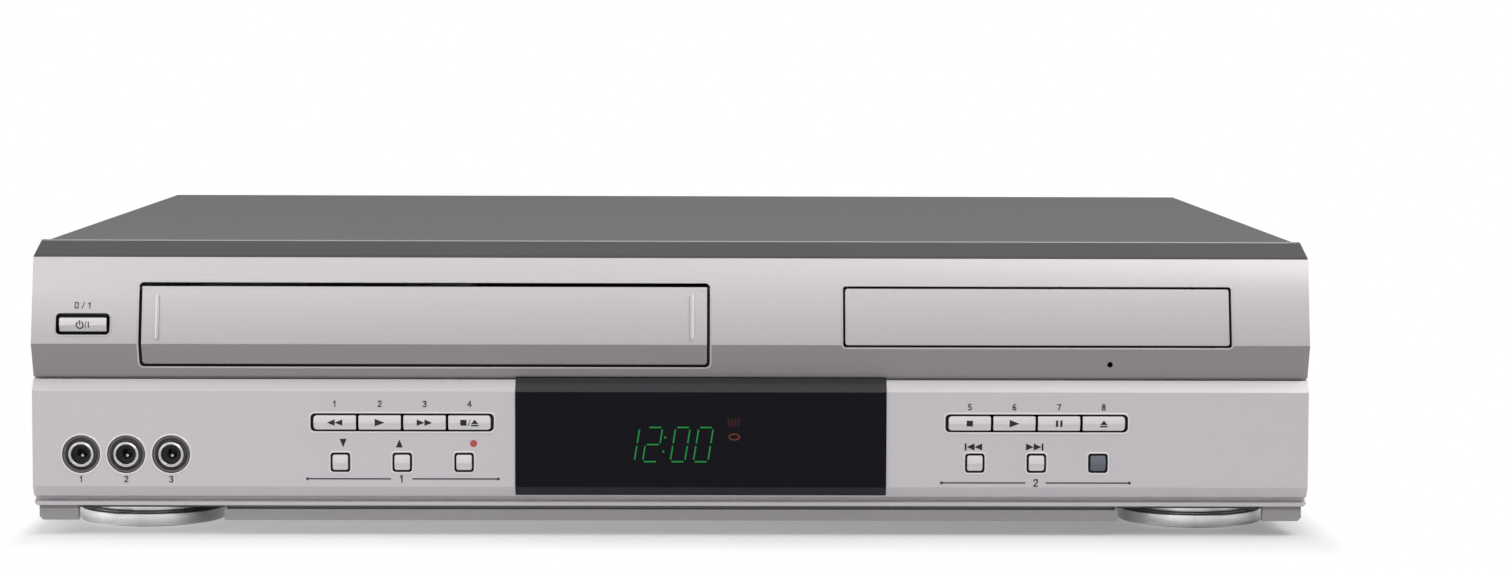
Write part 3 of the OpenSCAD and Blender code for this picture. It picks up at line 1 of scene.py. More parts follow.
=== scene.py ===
"""Looks of a low, wide home player: a tape door, a disc tray, keys, a dark window and round feet.

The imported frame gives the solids; this file gives them their finishes, adds the fine trim and sets the
stage. Sizes are millimetres in the player's own frame (X right, Y back, Z up), apart from the settings,
the camera and the lamps, which are in metres.
"""
import math
from collections import namedtuple

import bmesh
import bpy
import numpy as np
from mathutils import Matrix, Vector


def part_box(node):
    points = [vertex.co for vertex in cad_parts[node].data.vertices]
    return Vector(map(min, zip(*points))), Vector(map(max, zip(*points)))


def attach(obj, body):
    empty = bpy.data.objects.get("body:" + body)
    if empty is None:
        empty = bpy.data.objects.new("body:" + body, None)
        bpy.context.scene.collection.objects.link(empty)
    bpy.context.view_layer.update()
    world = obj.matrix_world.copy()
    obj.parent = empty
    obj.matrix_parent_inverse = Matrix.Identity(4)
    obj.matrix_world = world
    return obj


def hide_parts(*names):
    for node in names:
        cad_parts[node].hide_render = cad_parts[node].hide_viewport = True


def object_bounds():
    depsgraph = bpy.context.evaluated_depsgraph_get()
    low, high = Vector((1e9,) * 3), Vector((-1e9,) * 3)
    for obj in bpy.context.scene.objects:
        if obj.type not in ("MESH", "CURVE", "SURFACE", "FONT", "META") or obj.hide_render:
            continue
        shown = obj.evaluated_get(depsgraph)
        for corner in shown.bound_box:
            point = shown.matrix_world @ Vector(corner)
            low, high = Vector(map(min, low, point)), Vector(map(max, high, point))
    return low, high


bl_info = {
    "name": "Home player looks",
    "version": (1, 0, 0),
    "blender": (4, 5, 0),
    "location": "View3D > Sidebar > Player",
    "description": "Finishes, trim and stage for a tape and disc player",
    "category": "Object",
}

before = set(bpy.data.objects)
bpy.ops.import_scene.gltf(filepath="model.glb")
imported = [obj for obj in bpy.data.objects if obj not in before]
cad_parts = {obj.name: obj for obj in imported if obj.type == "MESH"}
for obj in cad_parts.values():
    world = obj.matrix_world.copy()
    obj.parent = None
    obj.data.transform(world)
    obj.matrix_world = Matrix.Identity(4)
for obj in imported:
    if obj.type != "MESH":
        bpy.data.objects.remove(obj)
CAD_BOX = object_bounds()
MM = 0.001

# ---- sizes that follow the solids ----


def corners(node):
    """Lowest and highest corner of a solid."""
    return np.array(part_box(node)) / MM


PANEL_LOW, PANEL_HIGH = corners("front_panel")
FRONT_Y, SIDE_X = float(PANEL_LOW[1]), float(PANEL_HIGH[0])     # the panel's ridge and its right side

# the panel's visible face from its foot upwards: height, and depth behind the ridge
FACE_Z = (5.2, 10.2, 11.5, 13.4, 16.9, 49.2, 53.0, 53.8, 65.1, 94.0)
FACE_D = (5.0, 4.6, 4.3, 4.5, 1.5, 1.5, 4.6, 5.0, 0.0, 7.0)
LEAN_Z, LEAN_TOP, LEAN_D = 65.1, 94.0, 7.0  # the leaning face: its foot, its top, how far it leans back
FACE_SET = 1.5                              # the lower face behind the ridge
DOOR = (-179.1, 57.3, 12.7, 85.6)           # openings: left, bottom, right, top
TRAY = (57.5, 64.4, 188.6, 84.7)
TAPE_X, DISC_X = -90.82, 123.05             # middles of the two groups of keys
ROW_Z, ROW_W, ROW_H, ROW_PITCH = 38.7, 61.67, 6.1, 15.093
SMALL_Z, SMALL_W, SMALL_PITCH = 25.2, 6.6, 20.812
POWER = (-197.8, 71.7, 18.1, 7.1)           # middle, width and height of the power key's hole
JACKS = (-198.7, 27.8, 15.1, 6.4)           # first middle, pitch and hole radius
FEET = (181.0, -132.0)                      # middle of the right front foot
KEY_GAP, FLANGE_D = 0.5, 4.3                # gap round a key, depth of the keys' flanges


def face_depth(z):
    """Depth of the panel's face behind its ridge at height z, by straight lines between its corners."""
    return np.interp(z, FACE_Z, FACE_D)


# ---- settings ----

class PlayerSizes(bpy.types.PropertyGroup):
    """Sizes of the fine trim."""
    lip_width: bpy.props.FloatProperty(
        name="Lip width", description="Half width of an opening's bead", default=0.0003, unit="LENGTH")
    lip_height: bpy.props.FloatProperty(
        name="Lip height", description="How far that bead stands proud", default=0.0002, unit="LENGTH")
    mark_depth: bpy.props.FloatProperty(
        name="Print thickness", description="Thickness of the printed marks", default=0.00004, unit="LENGTH")
    label_height: bpy.props.FloatProperty(
        name="Numeral height", description="Height of the small numerals", default=0.002, unit="LENGTH")
    digit_height: bpy.props.FloatProperty(
        name="Display digit height", description="Height of the lit digits", default=0.0116, unit="LENGTH")
    key_crown: bpy.props.FloatProperty(
        name="Key crown", description="Height of a key's ridge over its edges", default=0.001, unit="LENGTH")


class PlayerColours(bpy.types.PropertyGroup):
    """Main colours."""
    silver: bpy.props.FloatVectorProperty(
        name="Silver", description="Front and keys", subtype="COLOR", size=3, default=(0.64, 0.61, 0.625))
    band: bpy.props.FloatVectorProperty(
        name="Band", description="Dark band across the front", subtype="COLOR", size=3,
        default=(0.30, 0.279, 0.284))
    cover: bpy.props.FloatVectorProperty(
        name="Cover", description="Steel cover", subtype="COLOR", size=3, default=(0.113, 0.108, 0.113))
    bezel: bpy.props.FloatVectorProperty(
        name="Bezel", description="Bevelled strip over the front", subtype="COLOR", size=3,
        default=(0.076, 0.072, 0.075))
    window: bpy.props.FloatVectorProperty(
        name="Window", description="Dark window", subtype="COLOR", size=3, default=(0.0025, 0.0023, 0.0062))
    ink: bpy.props.FloatVectorProperty(
        name="Ink", description="Printed marks", subtype="COLOR", size=3, default=(0.06, 0.056, 0.064))
    digits: bpy.props.FloatVectorProperty(
        name="Digits", description="Lit digits", subtype="COLOR", size=3, default=(0.02, 0.36, 0.07))
    floor: bpy.props.FloatVectorProperty(
        name="Floor", description="Studio floor", subtype="COLOR", size=3, default=(0.86, 0.87, 0.885))


class PlayerStage(bpy.types.PropertyGroup):
    """Camera and lamps."""
    lens: bpy.props.FloatProperty(name="Lens", description="Focal length in millimetres", default=92.83)
    yaw: bpy.props.FloatProperty(
        name="Yaw", description="Camera's turn to the right", default=math.radians(0.923), subtype="ANGLE")
    pitch: bpy.props.FloatProperty(
        name="Pitch", description="Camera's turn upwards", default=math.radians(-3.969), subtype="ANGLE")
    roll: bpy.props.FloatProperty(
        name="Roll", description="Camera's turn about its own axis", default=math.radians(0.189),
        subtype="ANGLE")
    place: bpy.props.FloatVectorProperty(
        name="Camera place", description="Where the camera stands", subtype="TRANSLATION", size=3,
        default=(0.0060, -1.4803, 0.17534))
    key_power: bpy.props.FloatProperty(
        name="Key lamp", description="Power of the lamp above the right front corner", default=19.5)
    top_power: bpy.props.FloatProperty(
        name="Overhead lamp", description="Power of the lamp overhead", default=5.0)
    front_power: bpy.props.FloatProperty(
        name="Front lamp", description="Power of the lamp in front", default=1.2)
    side_power: bpy.props.FloatProperty(
        name="Side lamp", description="Power of the low lamp at the left", default=1.35)
    sky: bpy.props.FloatProperty(name="Room light", description="Strength of the even light", default=0.2)


# ---- surfaces ----

def turns(count):
    """Equal angles round a circle."""
    return np.arange(count) * 2 * np.pi / count


def points_at(*coordinates):
    """Coordinates, stretched to one shape, put side by side as points."""
    return np.stack(np.broadcast_arrays(*coordinates), axis=-1)


def unit(vectors):
    """Vectors brought to length one."""
    return vectors / np.linalg.norm(vectors, axis=-1, keepdims=True)


def shell(points, closed=False):
    """Points of shape (rings, along a ring, 3) as a closed skin: quads between each ring and the next. The
    last ring joins the first, or both ends get a face."""
    rings, count = points.shape[:2]
    i, j = np.meshgrid(np.arange(rings if closed else rings - 1), np.arange(count), indexing="ij")
    i1, j1 = (i + 1) % rings, (j + 1) % count
    faces = np.stack([i * count + j, i * count + j1, i1 * count + j1, i1 * count + j], axis=-1)
    faces = faces.reshape(-1, 4).tolist()
    if not closed:
        faces += [list(range(count))[::-1], list(range((rings - 1) * count, rings * count))]
    return points.reshape(-1, 3), faces


def mesh_object(name, points, faces, smooth=True):
    """A mesh object at the origin from points in millimetres and faces of any size."""
    mesh = bpy.data.meshes.new(name)
    mesh.from_pydata((np.asarray(points) * MM).tolist(), [], faces)
    mesh.update()
    mesh.polygons.foreach_set("use_smooth", np.full(len(mesh.polygons), smooth))
    thing = bpy.data.objects.new(name, mesh)
    bpy.context.scene.collection.objects.link(thing)
    return thing


def piece(name, parts, material, body="root", replaced=(), smooth=True, hard=0):
    """A finished piece from (points, faces) pairs: faces outwards, edges over so many degrees hard, and its
    name, its material, its body and the nodes that it replaces."""
    faces, base = [], 0
    for some_points, some_faces in parts:
        faces += [[base + k for k in face] for face in some_faces]
        base += len(some_points)
    thing = mesh_object(name, np.concatenate([points for points, _ in parts]), faces, smooth)
    work = bmesh.new()
    work.from_mesh(thing.data)
    bmesh.ops.recalc_face_normals(work, faces=work.faces)
    work.to_mesh(thing.data)
    work.free()
    if hard:
        thing.data.set_sharp_from_angle(angle=math.radians(hard))
    thing.data.materials.append(MATERIALS[material])
    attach(thing, body)
    if replaced:
        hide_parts(*replaced)


def lathe(profile, count, place, axes=(0, 2, 1)):
    """A closed profile of (radius, height) turned about a line through a place: radius times cosine and
    sine across the line, height along it. The line runs along Y, or along Z with the axes in order."""
    angle = turns(count)
    radius, height = np.array(profile, dtype=float).T[:, :, None]
    points, faces = shell(points_at(radius * np.cos(angle), radius * np.sin(angle), height), True)
    return points[:, list(axes)] + np.array(place), faces


def round_rect(half_w, half_h, radius, per_corner=8):
    """Outline of a rectangle with round corners, anticlockwise from the upper right one: (n, 2) points and
    normals. The radius is one number, or one for each corner in that order."""
    turn = (turns(4)[:, None] + np.linspace(0, np.pi / 2, per_corner + 1)).reshape(-1)
    normal = points_at(np.cos(turn), np.sin(turn))
    radii = np.repeat(np.broadcast_to(radius, 4), per_corner + 1)[:, None]
    corner = np.repeat([[1, 1], [-1, 1], [-1, -1], [1, -1]], per_corner + 1, axis=0)
    return corner * ((half_w, half_h) - radii) + radii * normal, normal


def fine_outline(outline, normal, step=1.5):
    """The closed outline with its long sides cut into short steps, so that it can follow a bent face."""
    to_next, turn = np.roll(outline, -1, axis=0) - outline, np.roll(normal, -1, axis=0) - normal
    count = np.maximum(1, np.ceil(np.linalg.norm(to_next, axis=1) / step)).astype(int)
    index = np.repeat(np.arange(len(outline)), count)
    share = ((np.arange(len(index)) - np.repeat(np.cumsum(count) - count, count)) / count[index])[:, None]
    return outline[index] + share * to_next[index], unit(normal[index] + share * turn[index])


def box_at(x, z, width, height):
    """Left, bottom, right and top of an opening round its middle."""
    return x - width / 2, z - height / 2, x + width / 2, z + height / 2


def opening_outline(box, radius):
    """The outline of an opening in the panel: points and normals."""
    x0, z0, x1, z1 = box
    outline, normal = round_rect((x1 - x0) / 2, (z1 - z0) / 2, radius)
    return fine_outline(outline + np.array([(x0 + x1) / 2, (z0 + z1) / 2]), normal)


def opening_bead(box, radius, half_width, height, offset):
    """A bead round an opening: half an ellipse proud of the panel's face, carried along the outline."""
    outline, normal = opening_outline(box, radius)
    side, up = offset + half_width * np.cos(turns(10)), height * np.sin(turns(10))
    x = outline[:, 0, None] + normal[:, 0, None] * side
    z = outline[:, 1, None] + normal[:, 1, None] * side
    y = FRONT_Y + face_depth(z) - np.minimum(up, face_depth(z) + 0.01)
    return shell(points_at(x, y, z), True)


def opening_shade_strip(box, radius, half_width, inset, top):
    """A strip of elliptic section just inside an opening's sides and foot, sunk below the face, as painted
    shade.
    """
    outline, normal = opening_outline(box, radius)
    below = outline[:, 1] < top
    path, out = (outline - inset * normal)[below], normal[below]
    sunk, half_depth = 1.6, 0.5
    side, deep = half_width * np.cos(turns(8)), sunk + half_depth * np.sin(turns(8))
    return shell(points_at(path[:, :1] + out[:, :1] * side, FRONT_Y + face_depth(path[:, 1:]) + deep,
                           path[:, 1:] + out[:, 1:] * side))


def door_rib(x):
    """A short upright rib on the door: an ellipse carried up the leaning face, thin at its ends."""
    foot, length, half_width, height = 1.6, 15.2, 0.42, 0.62
    share = np.linspace(0, 1, 25)[:, None]
    level = LEAN_Z + foot + length * share
    fade = np.sqrt(np.clip(1 - (2 * share - 1) ** 16, 0.05, 1))
    return shell(points_at(x + half_width * np.cos(turns(10)) * fade,
                           FRONT_Y + face_depth(level) + height * np.sin(turns(10)) * fade, level))


def flat_shape(outline, depth, thick, levels=8):
    """A convex mark in (x, z) laid on a surface. At each level z the mark runs from its left to its
    right edge; its front lies at the surface's depth less the thickness, and its back just below it."""
    (ax, az), (bx, bz) = outline.T, np.roll(outline, -1, axis=0).T
    z = np.unique(np.round(np.concatenate([az, np.linspace(az.min(), az.max(), levels)]), 5))
    z[0], z[-1] = z[0] + 1e-4, z[-1] - 1e-4
    share = (z[:, None] - az) / np.where(np.abs(bz - az) < 1e-9, np.nan, bz - az)
    x = np.where((share >= 0) & (share <= 1), ax + share * (bx - ax), np.nan)
    left, right = np.nanmin(x, axis=1), np.nanmax(x, axis=1)
    front, back = FRONT_Y + depth(z) - thick, FRONT_Y + depth(z) + 0.1
    edges = [(left, front), (right, front), (right, back), (left, back)]
    return shell(np.stack([points_at(x, y, z) for x, y in edges], axis=1))


# ---- outlines of marks ----

def bar(x0, z0, x1, z1):
    """A rectangle between two corners."""
    return np.array([[x0, z0], [x1, z0], [x1, z1], [x0, z1]])


def triangle(x, z, long, wide, way):
    """A triangle centred on (x, z), pointing right, left, up or down: its length that way and its base."""
    shape = np.array([[-0.5, -0.5], [0.5, 0.0], [-0.5, 0.5]]) * np.array([long, wide])
    turn = math.radians({"right": 0, "up": 90, "left": 180, "down": 270}[way])
    c, s = math.cos(turn), math.sin(turn)
    return shape @ np.array([[c, s], [-s, c]]) + np.array([x, z])


def oval(x, z, half_w, half_h, sides=24):
    """An ellipse."""
    return points_at(x + half_w * np.cos(turns(sides)), z + half_h * np.sin(turns(sides)))


def strokes(points, width):
    """Straight strokes with square ends from each point to the next."""
    shapes = []
    points = np.array(points)
    for a, b in zip(points[:-1], points[1:]):
        along = unit(b - a) * width / 2
        across = along[::-1] * (-1, 1)
        shapes.append(np.array([a - along - across, b + along - across, b + along + across,
                                a - along + across]))
    return shapes


# lines of the plain numerals: x, z, x, z and so on, in hundredths of a numeral's height
NUMERALS = {
    "0": [[10, 5, 50, 5, 55, 15, 55, 85, 50, 95, 10, 95, 5, 85, 5, 15, 10, 5]],
    "1": [[12, 75, 32, 95, 32, 5]],
    "2": [[6, 78, 16, 95, 46, 95, 55, 80, 52, 60, 5, 5, 56, 5]],
    "3": [[6, 88, 18, 95, 46, 95, 54, 75, 42, 53, 25, 53], [42, 53, 56, 30, 46, 5, 16, 5, 5, 14]],
    "4": [[42, 5, 42, 95, 4, 32, 58, 32]],
    "5": [[52, 95, 12, 95, 9, 55, 42, 58, 55, 33, 45, 7, 6, 7]],
    "6": [[50, 90, 25, 92, 8, 60, 7, 20, 20, 5, 45, 5, 55, 25, 45, 50, 20, 50, 8, 35]],
    "7": [[5, 95, 56, 95, 22, 5]],
    "8": [[30, 53, 10, 65, 12, 90, 30, 96, 48, 90, 50, 65, 30, 53],
          [30, 53, 7, 35, 10, 10, 30, 4, 50, 10, 53, 35, 30, 53]],
}


def numeral(digit, x, z, height, width):
    """A plain numeral with its middle near (x, z), as straight strokes."""
    place = np.array([x - 0.3 * height, z - height / 2])
    shapes = []
    for line in NUMERALS[digit]:
        shapes += strokes(np.array(line).reshape(-1, 2) / 100 * height + place, width)
    return shapes


# ---- finishes ----

MATERIALS = {}


class Nodes:
    """Short calls for wiring a node tree. They take plain values or node outputs, and give outputs."""

    def __init__(self, tree, out):
        self.tree = tree
        tree.nodes.clear()
        self.out = self.add(out)

    def put(self, socket, value):
        """Link an output to a socket, or set a number, vector or colour on the socket itself."""
        if isinstance(value, bpy.types.NodeSocket):
            self.tree.links.new(value, socket)
        elif value is not None:
            socket.default_value = (*value, 1) if socket.type == "RGBA" else value

    def add(self, kind, *first, **values):
        """A shader node: values for its first inputs, then by name, where a capital marks an input."""
        node = self.tree.nodes.new("ShaderNode" + kind)
        for key, value in values.items():
            if key[0].isupper():
                self.put(node.inputs[key.replace("_", " ")], value)
            else:
                setattr(node, key, value)
        for socket, value in zip(node.inputs, first):
            self.put(socket, value)
        return node

    def stretched(self, scale, turn=(0, 0, 0), shift=(0, 0, 0)):
        """Object coordinates stretched, turned and moved."""
        return self.add("Mapping", Vector=self.where, Location=shift, Rotation=turn,
                        Scale=scale).outputs["Vector"]

    def noise(self, scale, detail=2.0, rough=0.5, vector=None):
        return self.add("TexNoise", Vector=vector or self.where, Scale=scale, Detail=detail,
                        Roughness=rough).outputs["Fac"]

    def cells(self, scale):
        """Distance to the middles of scattered cells."""
        return self.add("TexVoronoi", Vector=self.where, Scale=scale).outputs["Distance"]

    def ramp(self, value, low, high, first=0.35, last=0.65):
        """A value that goes from low to high as the input goes from first to last."""
        return self.add("MapRange", Value=value, From_Min=first, From_Max=last, To_Min=low,
                        To_Max=high).outputs["Result"]

    def blend(self, value, low, high):
        """A colour between two colours."""
        node = self.add("Mix", data_type="RGBA", Factor=value)
        for socket, colour in zip([s for s in node.inputs if s.type == "RGBA"], (low, high)):
            self.put(socket, colour)
        return next(s for s in node.outputs if s.type == "RGBA")

    def maths(self, operation, *values):
        return self.add("Math", *values, operation=operation).outputs[0]

    def part(self, vector, axis):
        """One coordinate of a vector."""
        return self.add("SeparateXYZ", vector).outputs[axis]

    def along(self, axis, low, high, first, last):
        """A value that goes from low to high between two places on an axis."""
        return self.ramp(self.part(self.where, axis), low, high, first * MM, last * MM)

    def between(self, axis, low, high, soft=0.12):
        """1 between two places on an axis, with soft ends."""
        return self.maths("MULTIPLY", self.along(axis, 0, 1, low - soft, low + soft),
                          self.along(axis, 1, 0, high - soft, high + soft))

    def far_out(self):
        """1 at the player's far left and right."""
        far = self.maths("ABSOLUTE", self.part(self.where, "X"))
        return self.ramp(far, 0, 1, (SIDE_X - 2) * MM, (SIDE_X - 1.8) * MM)

    def shallow(self, lower, upper):
        """1 where the surface lies no deeper than a limit: one limit behind the ridge for what is below
        the leaning face, and one behind that face for the rest. What lies deeper is painted dark as shade."""
        limit = self.maths("ADD", self.along("Z", lower * MM, upper * MM, LEAN_Z - 0.2, LEAN_Z + 0.2),
                           self.along("Z", 0, LEAN_D * MM, LEAN_Z, LEAN_TOP))
        beyond = self.maths("SUBTRACT", self.part(self.where, "Y"), limit)
        return self.maths("MAXIMUM", self.ramp(beyond, 1, 0, (FRONT_Y - 0.1) * MM, (FRONT_Y + 0.1) * MM),
                          self.far_out())

    def facing_front(self):
        """1 where the surface faces the front, or lies at the player's far left or right."""
        facing = self.ramp(self.part(self.coordinates["Normal"], "Y"), 1, 0, -0.3, -0.12)
        return self.maths("MAXIMUM", facing, self.far_out())

    def bowed(self, rise, normal):
        """The normal of a leaning face that bows outwards: its height falls with the square of the
        distance from the face's middle line."""
        across = self.along("Z", -1, 1, LEAN_Z, LEAN_TOP)
        height = self.maths("SUBTRACT", 1.0, self.maths("MULTIPLY", across, across))
        return self.bump(height, rise, 1.0, normal)

    def bump(self, height, distance, strength, normal=None):
        return self.add("Bump", Height=height, Distance=distance * MM, Strength=strength,
                        Normal=normal).outputs["Normal"]

    def soft_edges(self, radius):
        return self.add("Bevel", samples=4, Radius=radius * MM).outputs["Normal"]

    def surface(self, colour, rough, normal=None, **sockets):
        """The main shader, put on the output; gives the shader."""
        shader = self.add("BsdfPrincipled", Base_Color=colour, Roughness=rough, Normal=normal,
                          **sockets).outputs["BSDF"]
        self.put(self.out.inputs["Surface"], shader)
        return shader

    def seen(self):
        """1 for rays from the camera, and for those that it sees in mirrors and through glass."""
        rays = self.add("LightPath").outputs
        direct = self.maths("MAXIMUM", rays["Is Camera Ray"], rays["Is Glossy Ray"])
        return self.maths("MAXIMUM", direct, rays["Is Transmission Ray"])

    def mixed(self, share, low, high):
        """Two shaders mixed, put on the output."""
        self.put(self.out.inputs["Surface"], self.add("MixShader", share, low, high).outputs[0])


def new_finish(name):
    """The nodes of a new material, with object coordinates at hand."""
    material = MATERIALS[name] = bpy.data.materials.new(name)
    material.use_nodes = True
    n = Nodes(material.node_tree, "OutputMaterial")
    n.coordinates = n.add("TexCoord").outputs
    n.where = n.coordinates["Object"]
    return n


def scaled(colour, share):
    """A colour made lighter or darker."""
    return tuple(min(1.0, c * share) for c in colour)


def painted(name, colour, rough, flake=0.04, metallic=0.0, grain=0.0, edge=0.0, coat=0.0, specular=0.5,
            fleck=2600.0, mottle=0.1, bow=0.0, bare_and_shade=None, shade_limits=None, bands=()):
    """Sprayed or moulded colour: fine flecks, slow patches, a faint grain and softened edges. Given a dark
    colour, only what faces the front or the far sides is sprayed; the other faces take the dark colour, as
    bare moulding on the backs and as painted shade on the walls of gaps, and with depth limits whatever lies
    deeper takes it too, as painted shade in gaps and wells; bands are (from z, to z, colour), laid over all
    faces, and bow is the leaning face's rise."""
    n = new_finish(name)
    patches = n.noise(14.0, 3.0)
    uneven = n.maths("MULTIPLY_ADD", patches, 0.45, n.ramp(n.noise(fleck, 1.0), 0.0, 0.55, 0.3, 0.7))
    tint = n.blend(uneven, scaled(colour, 1 - flake), scaled(colour, 1 + flake))
    # faces that don't face the front: bare moulding on the backs, painted shade on the walls of gaps
    if bare_and_shade:
        tint = n.blend(n.facing_front(), bare_and_shade, tint)
    # surfaces deeper than the limits: painted shade in gaps and key wells
    if shade_limits:
        tint = n.blend(n.shallow(*shade_limits), bare_and_shade, tint)
    for low, high, other in bands:
        tint = n.blend(n.between("Z", low, high), tint, other)
    normal = n.soft_edges(edge) if edge else None
    if bow:
        normal = n.bowed(bow, normal)
    if grain:
        normal = n.bump(n.noise(fleck * 0.45, 2.0, 0.6), grain, 0.6, normal)
    n.surface(tint, n.ramp(patches, rough * (1 - 0.8 * mottle), rough * (1 + mottle)), normal,
              Metallic=metallic, Coat_Weight=coat, Coat_Roughness=0.25, Specular_IOR_Level=specular)


def rolled(name, colour, rough):
    """Plated sheet: pale crystals, fine rolling lines along X and small dull patches."""
    n = new_finish(name)
    lines = n.noise(900.0, 2.0, 0.6, n.stretched((0.04, 1, 1)))
    tint = n.blend(n.ramp(n.cells(160.0), 0, 1, 0.0, 0.7), scaled(colour, 0.9), scaled(colour, 1.08))
    n.surface(tint, n.ramp(lines, rough * 0.8, rough * 1.25), n.bump(lines, 0.02, 0.5, n.soft_edges(0.2)),
              Metallic=0.75)


def turned(name, colour, rough, scale, centre=(0, 0, 0)):
    """Metal turned on a lathe: fine rings about an upright axis through the centre."""
    n = new_finish(name)
    place = n.stretched((1, 1, 1), shift=tuple(-c * MM for c in centre))
    rings = n.add("TexWave", wave_type="RINGS", rings_direction="Z", Vector=place, Scale=scale,
                  Distortion=1.2, Detail=2.0).outputs["Fac"]
    tint = n.blend(rings, scaled(colour, 0.93), scaled(colour, 1.05))
    n.surface(tint, n.ramp(rings, rough * 0.8, rough * 1.2, 0, 1),
              n.bump(rings, 0.01, 0.4, n.soft_edges(0.3)), Metallic=1.0)


# bands on a foot as painted highlight (above 0) and painted shade (below 0) for its reflections: from and
# to a place left or right of its middle, and the band's strength
FOOT_LIGHT_BANDS = ((-18.0, -6.0, 0.5), (4.0, 11.0, 0.15), (-30.0, -20.0, -0.42), (15.0, 30.0, -0.55))


def spun(name, colour, rough, middles):
    """Metal polished on a wheel: fine level lines, slow upright patches, and on each foot bands of painted
    highlight and painted shade for its reflections.
    """
    n = new_finish(name)
    fine = n.noise(1800.0, 2.0, 0.6, n.stretched((0.02, 0.02, 1)))
    share = n.ramp(n.noise(110.0, 0.5, 0.4, n.stretched((1, 0.25, 0.02))), 0.58, 0.68, 0.38, 0.62)
    for x in middles:
        for low, high, strength in FOOT_LIGHT_BANDS:
            share = n.maths("MULTIPLY_ADD", n.between("X", x + low, x + high, 5.0), strength, share)
    # dark and light copies of the metal: painted shade and painted highlight
    tint = n.blend(share, scaled(colour, 0.36), scaled(colour, 1.55))
    n.surface(tint, n.ramp(fine, rough * 0.9, rough * 1.1), n.bump(fine, 0.006, 0.4), Metallic=0.9)


def circuit(name, colour, copper):
    """A circuit board: a lacquered base with a net of fine tracks and small pads."""
    n = new_finish(name)
    tracks = n.add("TexBrick", Vector=n.where, Scale=120.0, Mortar_Size=0.06).outputs["Fac"]
    pads = n.ramp(n.cells(260.0), 1.0, 0.0, 0.12, 0.16)
    tint = n.blend(n.maths("MAXIMUM", tracks, pads), colour, copper)
    n.surface(tint, n.ramp(n.noise(60.0), 0.35, 0.5), n.soft_edges(0.2))


def glowing(name, colour, strength):
    """Lit phosphor behind a clear sheet, a little uneven along each stroke."""
    n = new_finish(name)
    lit = n.blend(n.noise(420.0), scaled(colour, 0.75), colour)
    n.surface(scaled(colour, 0.3), 0.25, Specular_IOR_Level=0.1, Emission_Color=lit,
              Emission_Strength=strength)


